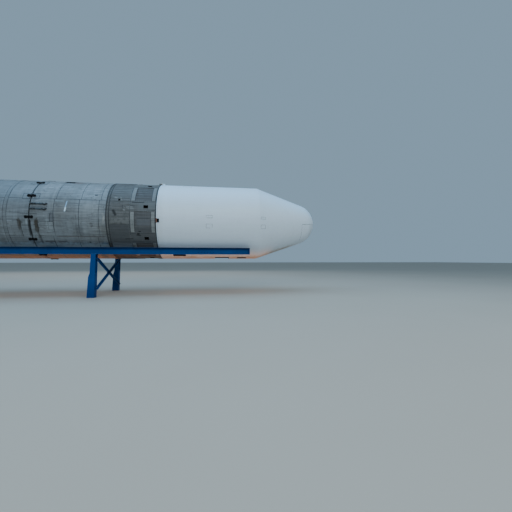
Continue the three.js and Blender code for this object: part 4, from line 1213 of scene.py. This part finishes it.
BASE_X, BASE_Y = -0.010, 0.780  # the pin of an actuator's cylinder, in its engine's frame
BEAM = (-0.605, 0.478)
PUMP_Z = -0.335
YOKE = [(0.152, -0.085), (0.152, 0.085), (0.10, 0.066), *arc(0, 0, 0.060, 84, 276, 14), (0.10, -0.066)][::-1]
FORK = [(0.15, 0.738), (0.15, 0.822), *arc(BASE_X, BASE_Y, 0.040, 90, 270, 12)][::-1]
for k in range(4):
    thrust.at = engine_frame(k)
    # the beam runs out from the hub along the engine's Z
    for x in ((0.1505, 0.172), (0.378, 0.3995)):
        block(thrust, x, (-0.095, 0.095), BEAM)
    block(thrust, (0.170, 0.380), (-0.020, 0.020), BEAM)
    for z in (-0.48, -0.30, -0.12, 0.06, 0.24, 0.42):
        block(thrust, (0.171, 0.379), (-0.088, 0.088), about(z, 0.006))
        for y in (-0.07, 0.07):
            stud(thrust, (0.1505, y, z + 0.03), AFT, 0.011, 0.008)
    # a yoke for the engine's trunnions and a fork for its actuator
    for way in WAYS:
        plate(thrust, YOKE, sided(way, 0.205, 0.245))
        rod(thrust, (0, 0, way * 0.245), (0, 0, way * 0.2505), 0.047, "steel", 24, 0.05)
        stud_circle(thrust, (0, 0, way * 0.2505), (0, 0, way), 0.0385, 6, 0.0055, 0.004)
        block(thrust, (0.142, 0.152), (-0.12, 0.12), sided(way, 0.19, 0.27))
        for y in (-0.103, 0.103):
            stud(thrust, (0.142, y, way * 0.23), AFT, 0.011, 0.008)
        plate(thrust, FORK, sided(way, 0.025, 0.041))
        stud(thrust, (BASE_X, BASE_Y, way * 0.041), (0, 0, way), 0.026, 0.014)
    rod(thrust, (BASE_X, BASE_Y, -0.05), (BASE_X, BASE_Y, 0.05), 0.0199, "steel", 24)
    block(thrust, (0.130, 0.146), (0.735, 0.825), (-0.06, 0.300))
    for y in ((0.740, 0.752), (0.808, 0.820)):
        block(thrust, (0.146, 0.27), y, (-0.04, 0.29))
    for y in (0.757, 0.803):
        for z in (-0.048, 0.10, 0.20, 0.285):
            stud(thrust, (0.130, y, z), AFT, 0.010, 0.007)
    # feed line into the beam, ahead of the pump
    rod(thrust, (0.160, 0, PUMP_Z), (0.128, 0, PUMP_Z), 0.088, "steel", 32, 0.06)
    stud_circle(thrust, (0.128, 0, PUMP_Z), AFT, 0.076, 8, 0.008, 0.006, first=22.5)
    # struts from the beam's end to the ring
    for way in WAYS:
        tube(thrust, [(0.26, way * 0.08, 0.10), (0.26, way * 0.62, 0.29)], 0.030, sides=16)
        for y, z in ((0.10, 0.107), (0.60, 0.283)):
            start, end = ((0.26, way * (y + off), z + 0.35 * off) for off in (-0.02, 0.02))
            rod(thrust, start, end, 0.037, "steel")
    # a pressure bottle in each quarter, between the beams
    quarter = Matrix.Rotation(math.radians(90 * k), 4, "X")
    thrust.at = Matrix.Translation((NOSE_X - 27.25, 0, AXIS_Z)) @ quarter
    ball = [(0.155 - 0.155 * math.cos(q), 0.155 * math.sin(q)) for q in even(0, math.pi, 14)]
    ball[-1] = (ball[-1][0], 0)
    turn(thrust, (0.12, 0, 0.86), AFT, ball, "wrap", 32)
    tube(thrust, [(-0.02, u, v) for u, v in arc(0, 0.86, 0.157, 0, 360, 32)], 0.009, "steel", 8)
    line = [(-0.03, 0, 1.01), (-0.03, 0.05, 1.12), (-0.02, 0.10, 1.26), (0.0, 0.12, 1.40)]
    tube(thrust, curve(line), 0.013, "steel", 10)
    block(thrust, (-0.04, 0.0), (-0.02, 0.02), (1.01, 1.38))
thrust.finish("steel", node="thrust_frame")

# Engines

# Distance behind the hinge, outer radius and inner radius
BELL = [(0.330, 0.185, 0.155), (0.470, 0.118, 0.092), (0.560, 0.160, 0.134), (0.720, 0.250, 0.226),
        (0.980, 0.340, 0.320), (1.320, 0.406, 0.389), (1.700, 0.440, 0.424)]


def bell_radius(back, column):
    """The nozzle's radius at a distance behind the hinge, drawn smoothly through the main stations."""
    rows = [(row[0], row[column]) for row in BELL]
    slopes = []
    for p, q in zip([rows[0], *rows], [*rows[1:], rows[-1]]):
        slopes.append((q[1] - p[1]) / (q[0] - p[0]))
    slopes[0] = slopes[1] = 0.0
    for (x0, r0), (x1, r1), m0, m1 in zip(rows, rows[1:], slopes, slopes[1:]):
        if back <= x1 + 1e-9:
            h = x1 - x0
            t = (back - x0) / h
            return ((2 * t ** 3 - 3 * t * t + 1) * r0 + (t ** 3 - 2 * t * t + t) * h * m0
                    + (3 * t * t - 2 * t ** 3) * r1 + (t ** 3 - t * t) * h * m1)
    return rows[-1][1]


def spin(b, rows, mat=None, sides=48, way=AFT, ridges=0, depth=0.0):
    """Turns rows of (distance along the way, radius) round the X axis of the frame in use."""
    turn(b, (0, 0, 0), way, rows, mat, sides, ridges, depth)


INJECTOR = [(-0.060, 0.0), (-0.060, 0.100), (-0.054, 0.118), (-0.034, 0.146), (-0.012, 0.165), (0.0, 0.168),
            (0.0, 0.184), (0.038, 0.184), (0.040, 0.172), (0.075, 0.172), (0.077, 0.184), (0.100, 0.184),
            (0.102, 0.176)]
OUTSIDE = [(0.102, 0.176), (0.178, 0.182), (0.254, 0.182), (0.330, 0.176)]
OUTSIDE += [(x, bell_radius(x, 1) - 0.003) for x in even(0.345, 1.680, 44)]
INSIDE = [(1.694, 0.4235), *((x, bell_radius(x, 2)) for x in even(1.69, 0.33, 40)), (0.20, 0.155),
          (0.095, 0.155), (0.090, 0.150), (0.090, 0.0)]
EXIT_RIM = [(1.680, 0.437), (1.680, 0.4395), (1.694, 0.4395), (1.700, 0.436), (1.700, 0.426), (1.694, 0.4235)]
TRUNNION = [(0, 0.078), (0.029425, 0.070), (0.0428, 0.056), (0.0535, 0.054), (0.0535, 0)]
LUG = [(-0.605, 0.172), (-0.41, 0.133), *arc(-0.560, 0.260, 0.040, 20, 160, 10)]
SADDLE = [(-0.600, 0.172), (-0.560, 0.150), (-0.520, 0.126), (-0.470, 0.109), (-0.430, 0.120),
          (-0.430, 0.166), (-0.600, 0.190)]
PIPES = [
    ([(-0.225, -0.10, -0.415), (-0.235, -0.20, -0.395), (-0.30, -0.27, -0.28), (-0.42, -0.27, -0.12),
      (-0.56, -0.235, 0.0), (-0.625, -0.21, 0.07)], 0.024, "steel"),
    ([(-0.225, 0.13, -0.335), (-0.15, 0.20, -0.31), (-0.05, 0.205, -0.20), (0.035, 0.16, -0.11),
      (0.055, 0.09, -0.05), (0.052, 0.05, -0.02)], 0.026, "steel"),
    ([(-0.62, 0.08, 0.24), (-0.45, 0.10, 0.24), (-0.25, 0.12, 0.20), (-0.09, 0.13, 0.17)], 0.010, "steel"),
    ([(-0.02, -0.12, 0.12), (-0.20, -0.15, 0.165), (-0.36, -0.14, 0.16), (-0.50, -0.10, 0.15),
      (-0.66, -0.12, 0.23), (-0.90, -0.17, 0.29)], 0.008, "black"),
]
CASING = [(0.121, 0.0), (0.121, 0.086), (0.137, 0.086), (0.139, 0.070), (0.158, 0.074), (0.180, 0.095),
          (0.195, 0.122), (0.215, 0.134), (0.245, 0.134), (0.262, 0.122), (0.275, 0.098), (0.292, 0.085),
          (0.330, 0.080), (0.332, 0.098), (0.348, 0.098), (0.350, 0.080), (0.385, 0.082), (0.392, 0.103),
          (0.410, 0.104), (0.413, 0.094), (0.500, 0.094), (0.503, 0.104), (0.521, 0.104), (0.524, 0.090),
          (0.545, 0.076), (0.559, 0.060), (0.559, 0.0)]
EXHAUST = [(-0.545, 0, 0), (-0.62, 0, -0.015), (-0.74, 0, -0.055), (-0.88, 0, -0.085), (-1.02, 0, -0.105)]


def chamber(body, k):
    b = Build(body + "_chamber", "steel")
    b.at = engine_frame(k)
    spin(b, INJECTOR, sides=64)
    spin(b, OUTSIDE, "bell", 240, AFT, 60, 0.0026)
    spin(b, EXIT_RIM, sides=96)
    spin(b, [(-x, r) for x, r in INSIDE], "throat", 96, FORE)
    for r in (0.03, 0.062, 0.094, 0.126):
        bead = [(0.0915, r - 0.006), (0.0935, r - 0.003), (0.0935, r + 0.003), (0.0915, r + 0.006)]
        spin(b, bead, sides=32)
    for x in (0.80, 0.96, 1.14, 1.33, 1.52):
        r = bell_radius(x, 1) + 0.002
        rise = 0.012 * (bell_radius(x + 0.01, 1) - bell_radius(x - 0.01, 1)) / 0.02
        hoop = [(x - 0.013, r - 0.006), (x - 0.012, r + 0.007 - rise), (x + 0.012, r + 0.007 + rise),
                (x + 0.013, r - 0.004)]
        spin(b, hoop, sides=96)
    tube(b, [(-0.625, u, v) for u, v in arc(0, 0, 0.226, 0, 360, 48)], 0.028, sides=14)
    stud_circle(b, (0, 0, 0), FORE, 0.176, 24, 0.0075, 0.006)
    rod(b, (0.058, 0, 0), (0.098, 0, 0), 0.045, "pump", 24)
    rod(b, (0.050, 0, 0.075), (0.088, 0, 0.075), 0.022)
    for way in WAYS:
        turn(b, (0, 0, way * 0.150), (0, 0, way), TRUNNION, sides=32)
        rod(b, (0, 0, way * 0.19), (0, 0, way * 0.2500), 0.0338, "rod", 32, 0.05)
        plate(b, LUG, sided(way, 0.028, 0.042))
        stud(b, (-0.560, 0.260, way * 0.042), (0, 0, way), 0.026, 0.012)
    plate(b, SADDLE, (-0.044, 0.044))
    rod(b, (-0.560, 0.260, -0.050), (-0.560, 0.260, 0.050), 0.0199, "rod", 24)
    for path, r, mat in PIPES:
        tube(b, curve(path, 7), r, mat, 14)
        for p, q in ((path[0], path[1]), (path[-1], path[-2])):
            p, q = Vector(p), Vector(q)
            rod(b, p, p + (q - p).normalized() * 0.022, r * 1.5)
    for x, y, z in ((-0.16, 0.10, 0.175), (-0.26, -0.14, 0.145)):
        block(b, about(x, 0.05), about(y, 0.03), (z - 0.03, z + 0.035), "pump")
        for i in about(x, 0.032):
            stud(b, (i, y, z + 0.035), Z, 0.008, 0.006)
    b.finish("steel", body, f"thrust_chamber_{k + 1}", 40)


def turbopump(body, k):
    b = Build(body + "_pump", "pump")
    b.at = engine_frame(k) @ Matrix.Translation((0, 0, PUMP_Z))
    spin(b, CASING)
    for x, r, count, way in ((0.137, 0.079, 12, AFT), (0.332, 0.090, 10, FORE), (0.392, 0.097, 16, FORE),
                             (0.521, 0.098, 16, AFT)):
        stud_circle(b, (-x, 0, 0), way, r, count, 0.0065, 0.005)
    turn(b, (-0.23, 0, 0.08), Z, [(0, 0.046), (0.0735, 0.042), (0.07448, 0.058), (0.098, 0.058)])
    for y in (-0.030, 0.018):
        block(b, (-0.508, -0.472), (y, y + 0.012), (0.08, 0.222), "steel")
    tube(b, curve(EXHAUST), 0.046, "steel", 24)
    rod(b, (-0.556, 0, 0), (-0.580, 0, -0.004), 0.060, "steel", 24)
    rod(b, (-1.016, 0, -0.1045), (-1.024, 0, -0.1058), 0.040, "throat", 24)
    rod(b, (-1.0, 0, -0.1022), (-1.022, 0, -0.1055), 0.051, "steel", 24)
    drain = [(-0.23, 0.135, 0.0), (-0.25, 0.155, 0.03), (-0.33, 0.14, 0.06), (-0.40, 0.10, 0.06)]
    tube(b, curve(drain), 0.011, "steel", 10)
    b.finish("grey", body, f"turbopump_{k + 1}", 40)


def bellows(k):
    b = Build(f"feed_bellows_{k + 1}", "steel")
    b.at = engine_frame(k) @ Matrix.Translation((0, 0, PUMP_Z))
    rows = []
    for i, x in enumerate(even(-0.1265, 0.120, 66)):
        folded = 0.10 < i / 66 < 0.90
        rows.append((x, 0.066 + (0.0075 * math.cos(math.pi * i / 3) if folded else 0.0)))
    spin(b, rows, sides=40)
    piece = b.finish("steel", None, sharp=75)
    start, end = (engine_frame(k) @ Vector((x, 0, PUMP_Z)) for x in (0.125, -0.118))
    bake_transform(piece)
    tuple(start)
    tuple(end)


def eye(b, x, r, bore):
    """A ring round a pin: its bore stays open."""
    rows = [(-0.020, bore), (-0.020, r - 0.003), (-0.017, r), (0.017, r), (0.020, r - 0.003), (0.020, bore)]
    skin(b, [ring((x, 0, z), X, Y, radius, 32) for z, radius in rows], "steel", closed=True)


def actuator(k):
    """The cylinder and the rod on their own bodies, in a frame whose X runs from the one pin to the other."""
    turned = Matrix.Rotation(math.atan2(-0.520, -0.550), 4, "Z")
    line = engine_frame(k) @ Matrix.Translation((BASE_X, BASE_Y, 0)) @ turned
    reach = math.hypot(0.550, 0.520)

    b = Build(f"actuator_{k + 1}_barrel", "pump")
    b.at = line
    eye(b, 0, 0.040, 0.0208)
    block(b, (0.034, 0.092), (-0.022, 0.022), (-0.0195, 0.0195), "steel")
    spin(b, [(0.085, 0.0), (0.085, 0.040), (0.090, 0.045), (0.118, 0.045), (0.121, 0.038), (0.345, 0.038),
             (0.348, 0.045), (0.384, 0.045), (0.387, 0.036), (0.400, 0.034), (0.400, 0.0225), (0.36, 0.0225)],
         sides=32, way=FORE)
    block(b, (0.14, 0.25), (-0.063, -0.033), (-0.024, 0.024), "black")
    for x in (0.155, 0.235):
        for z in (-0.016, 0.016):
            stud(b, (x, -0.063, z), (0, -1, 0), 0.005, 0.004)
    hose = [(0.24, -0.052, 0.0), (0.30, -0.058, 0.012), (0.34, -0.052, 0.012), (0.366, -0.040, 0.006)]
    tube(b, curve(hose), 0.006, "steel", 8)
    stud_circle(b, (0.400, 0, 0), FORE, 0.029, 8, 0.0035, 0.003)
    b.finish("steel", f"cylinder_{k + 1}", f"actuator_cylinder_{k + 1}", 40)

    b = Build(f"actuator_{k + 1}_ram", "steel")
    b.at = line
    rod(b, (0.29, 0, 0), (reach - 0.055, 0, 0), 0.0218, "rod", 32)
    collar = [(-0.085, 0.0218), (-0.083, 0.030), (-0.062, 0.030), (-0.060, 0.024), (-0.034, 0.022)]
    spin(b, [(reach + x, r) for x, r in collar], sides=32, way=FORE)
    eye(b, reach, 0.042, 0.0232)
    b.finish("steel", f"rod_{k + 1}", f"actuator_rod_{k + 1}", 40)


for k in range(4):
    chamber(f"engine_{k + 1}", k)
    turbopump(f"engine_{k + 1}", k)
    bellows(k)
    actuator(k)

# Cradle

RAIL_TOP, RAIL_SIZE = 1.850, 0.254
RAIL_FOOT = RAIL_TOP - RAIL_SIZE
MID = 1.370 - RAIL_SIZE / 2  # the middle of a rail, across
TRESTLES = {"front": 8.745, "middle": 15.400, "rear": 22.055}


def beam_outline():
    """The rail's I-section as (across, up) points about its middle, with rounded inner corners."""
    w, h, f, t, r = 0.127, 0.254, 0.020, 0.007, 0.016
    quarter = [(w - 0.002, h), (w, h - 0.002), (w, h - f + 0.004), (w - 0.004, h - f), (t + r, h - f)]
    quarter += arc(t + r, h - f - r, r, 90, 180, 4)[1:]
    return mirrored(quarter + [(u, h - v) for u, v in reversed(quarter)])


def seat(z, off=0.0):
    """A point of the hull's side at a height, as (distance from the middle, height), moved outwards."""
    return math.sqrt(R ** 2 - (AXIS_Z - z) ** 2) + off, z


def across_plate(b, shape, side, x, mat=None):
    """A plate from an outline of (distance from the middle, height), on one side, between two lengths."""
    prism(b, shape[::-side], lambda u, v, w: (x[0] + w, side * u, v), x[1] - x[0], mat)


SEAT_HEIGHTS = even(1.637, 1.845, 10)
for name, side in (("right", -1), ("left", 1)):
    rail = Build(f"rail_{name}_beam", "blue")
    middle = side * MID
    back, front = NOSE_X - 27.8, NOSE_X - 3.0
    prism(rail, beam_outline(), lambda u, v, w: (back + w, middle + u, RAIL_FOOT + v), front - back)
    stiffeners = [(x, way) for x in (back + 0.008, front - 0.008) for way in WAYS]
    stiffeners += [(NOSE_X - s, -side) for s in TRESTLES.values()]
    for x, way in stiffeners:
        y = sorted((middle + way * 0.006, middle + way * 0.121))
        block(rail, about(x, 0.008), y, (RAIL_TOP - 0.235, RAIL_TOP - 0.019))
        weld = [(x, middle + way * 0.009, RAIL_TOP - down) for down in (0.232, 0.022)]
        tube(rail, weld, 0.009, sides=6)
    # splices between the lengths of the rail
    for s in (12.35, 20.90):
        x = NOSE_X - s
        for way in WAYS:
            y = sorted((middle + way * 0.006, middle + way * 0.017))
            block(rail, about(x, 0.26), y, (RAIL_TOP - 0.215, RAIL_TOP - 0.040))
            for i in (-0.215, -0.135, -0.055, 0.055, 0.135, 0.215):
                for z in (1.665, 1.722, 1.780):
                    stud(rail, (x + i, middle + way * 0.017, z), (0, way, 0), 0.015, 0.012)
        block(rail, about(x, 0.002), about(middle, 0.1275), (RAIL_TOP - 0.02, RAIL_TOP + 0.0006), "bolt")
    # chocks under the hull
    for s in (7.640, 10.250, 13.650, 17.050, 20.400, 23.750, 26.750):
        x = NOSE_X - s
        for inner, outer, half, mat in ((0.0006, 0.016, 0.225, "rubber"), (0.016, 0.030, 0.230, "blue")):
            face = [seat(z, inner) for z in SEAT_HEIGHTS] + [seat(z, outer) for z in reversed(SEAT_HEIGHTS)]
            across_plate(rail, face, side, about(x, half), mat)
        web = [seat(z, 0.028) for z in SEAT_HEIGHTS[::2]] + [(1.236, 1.845), (1.236, 1.637)]
        for i in (-0.21, -0.07, 0.07, 0.21):
            across_plate(rail, web, side, about(x + i, 0.006))
        block(rail, about(x, 0.23), sided(side, seat(1.637)[0] + 0.02, 1.236), (1.6365, 1.649))
        for i in (-0.14, 0.0, 0.14):
            for y in (0.90, 1.06):
                stud(rail, (x + i, side * y, 1.6365), -Z, 0.012, 0.010)
    for i in range(6):
        stud(rail, (9.63 + 0.114 * i, side * (MID + 0.007), 1.678), (0, side, 0), 0.013, 0.004, "black", 12)
    rail.finish("blue", node=f"rail_{name}", sharp=30)

LEG_TOP, FOOT_AHEAD, TOP_AHEAD = 1.5957, 0.045, 0.098
TOP_BACK, KNEE_BACK, SLEEVE_BACK, FOOT_BACK = -0.070, -0.112, -0.162, -0.215
SLEEVE, KNEE = 0.755, 0.905  # heights at which the leg widens
LEAN = (TOP_AHEAD - FOOT_AHEAD) / LEG_TOP


def leg_ahead(z):
    """How far a leg's nose side lies ahead of its trestle's station at a height."""
    return FOOT_AHEAD + LEAN * z


COLUMN = [(leg_ahead(KNEE), KNEE), (TOP_AHEAD, LEG_TOP), (TOP_BACK, LEG_TOP), (KNEE_BACK, KNEE)]
SOCKET = [(FOOT_AHEAD, 0.0), (leg_ahead(KNEE - 0.002), KNEE - 0.002), (KNEE_BACK + 0.002, KNEE - 0.002),
          (SLEEVE_BACK, SLEEVE), (FOOT_BACK, 0.0)]
COLLAR = [(leg_ahead(KNEE - 0.004), KNEE - 0.004), (leg_ahead(KNEE), KNEE), (KNEE_BACK, KNEE),
          (KNEE_BACK - 0.001, KNEE - 0.004)]
BAR = [(0.0, -0.045), (0.010, -0.045), (0.010, 0.029), (0.013, 0.034), (0.017, 0.035), (0.070, 0.035),
       (0.070, 0.045), (0.0, 0.045)]
RISE, REACH, MIDDLES = 0.585, 1.270, (0.835, 0.915)
BAR_HALF = math.hypot(REACH, RISE)
CROSSING = (MIDDLES[0] - MIDDLES[1]) * REACH / RISE / 2

for trestle, s in TRESTLES.items():
    x = NOSE_X - s
    for name, side in (("right", -1), ("left", 1)):
        leg = Build(f"leg_{trestle}_{name}_post", "blue")
        for shape, far, near in ((COLUMN, 1.370, 1.354), (COLUMN, 1.183, 1.167), (SOCKET, 1.376, 1.161),
                                 (COLLAR, 1.373, 1.164)):
            y0, y1 = sided(side, far, near)
            prism(leg, shape, lambda u, v, w: (x + u, y1 - w, v), y1 - y0)
        block(leg, about(x, 0.007), sided(side, 1.1825, 1.3545), (KNEE, LEG_TOP))
        block(leg, (x - 0.0695, x + 0.097), sided(side, 1.1675, 1.3695), (LEG_TOP - 0.014, LEG_TOP))
        for y in (1.21, 1.33):
            for i in (-0.045, 0.070):
                stud(leg, (x + i, side * y, RAIL_FOOT + 0.0198), Z, 0.014, 0.011)
                stud(leg, (x + i * 0.9, side * y, LEG_TOP - 0.014), -Z, 0.014, 0.011)
        for y in (1.376, 1.161):
            tube(leg, [(x + leg_ahead(z) - 0.004, side * y, z) for z in (0.02, 0.88)], 0.0035, sides=6)
        leg.finish("blue", node=f"leg_{trestle}_{name}", bevel=0.002)

    cross = Build(f"brace_{trestle}_bars", "blue")
    slant = Matrix.Translation((x + FOOT_AHEAD + GAP, 0, 0)) @ Matrix.Rotation(math.atan(LEAN), 4, "Y")
    for way, height in zip(WAYS, MIDDLES):
        turned = Matrix.Rotation(way * math.atan2(RISE, REACH), 4, "X")
        cross.at = slant @ Matrix.Translation((0, 0, height)) @ turned
        shape = BAR if way < 0 else [(u, -v) for u, v in reversed(BAR)]
        prism(cross, shape, lambda u, v, w: (u, w - BAR_HALF, v), 2 * BAR_HALF)
        for end in WAYS:
            for off in (0.05, 0.13):
                stud(cross, (0.010, end * (BAR_HALF - off), way * 0.006), FORE, 0.013, 0.010)
    cross.at = slant @ Matrix.Translation((0, CROSSING, sum(MIDDLES) / 2))
    block(cross, (-0.0002, 0.0105), (-0.15, 0.15), (-0.085, 0.085))
    for y in (-0.11, 0.11):
        for z in (-0.052, 0.052):
            stud(cross, (0.0105, y, z), FORE, 0.013, 0.010)
    cross.finish("blue", node=f"brace_{trestle}", bevel=0.0015)

# Floor, sky and light

floor_mesh = bpy.data.meshes.new("floor")
floor_mesh.from_pydata([(-150, -150, 0), (150, -150, 0), (150, 150, 0), (-150, 150, 0)], [], [(0, 1, 2, 3)])
floor = bpy.data.objects.new("floor", floor_mesh)
bpy.context.scene.collection.objects.link(floor)
ground = Graph("floor")
ground_color = ground.mix(ground.noise(0.15), (0.48, 0.415, 0.35), (0.51, 0.445, 0.38))
floor_mesh.materials.append(ground.finish(ground_color, 0.85))

world = bpy.data.worlds.new("sky")
world.use_nodes = True
background = world.node_tree.nodes["Background"]
background.inputs[0].default_value = (0.50, 0.76, 1.0, 1)
background.inputs[1].default_value = 0.46
bpy.context.scene.world = world


def area_light(name, place, target, size, size_y, power, color, spread=180):
    data = bpy.data.lights.new(name, "AREA")
    data.shape, data.size, data.size_y = "RECTANGLE", size, size_y
    data.energy, data.color = power, color
    data.spread = math.radians(spread)
    light = bpy.data.objects.new(name, data)
    bpy.context.scene.collection.objects.link(light)
    light.location = place
    light.rotation_euler = (Vector(target) - Vector(place)).to_track_quat("-Z", "Y").to_euler()
    light.visible_camera = False


area_light("top_light", (3, -1.5, 17), (3, 0, 3), 36, 14, 3070, (0.37, 0.675, 1.0))
area_light("front_light", (12.5, -21, 13.5), (6, 0, 2.5), 26, 8, 2570, (0.83, 0.95, 1.0))
area_light("left_light", (0, 22, 12), (0, 0, 2.5), 34, 8, 1300, (0.85, 0.94, 1.0))
area_light("stern_light", (-32, -5, 8), (-12, 0, 2.8), 12, 8, 1300, (0.90, 0.96, 1.0))
area_light("ground_glow", (-2.25, 0, 0.02), (-2.25, 0, 3), 29.5, 1.6, 56, (1.0, 0.37, 0.09), 24)

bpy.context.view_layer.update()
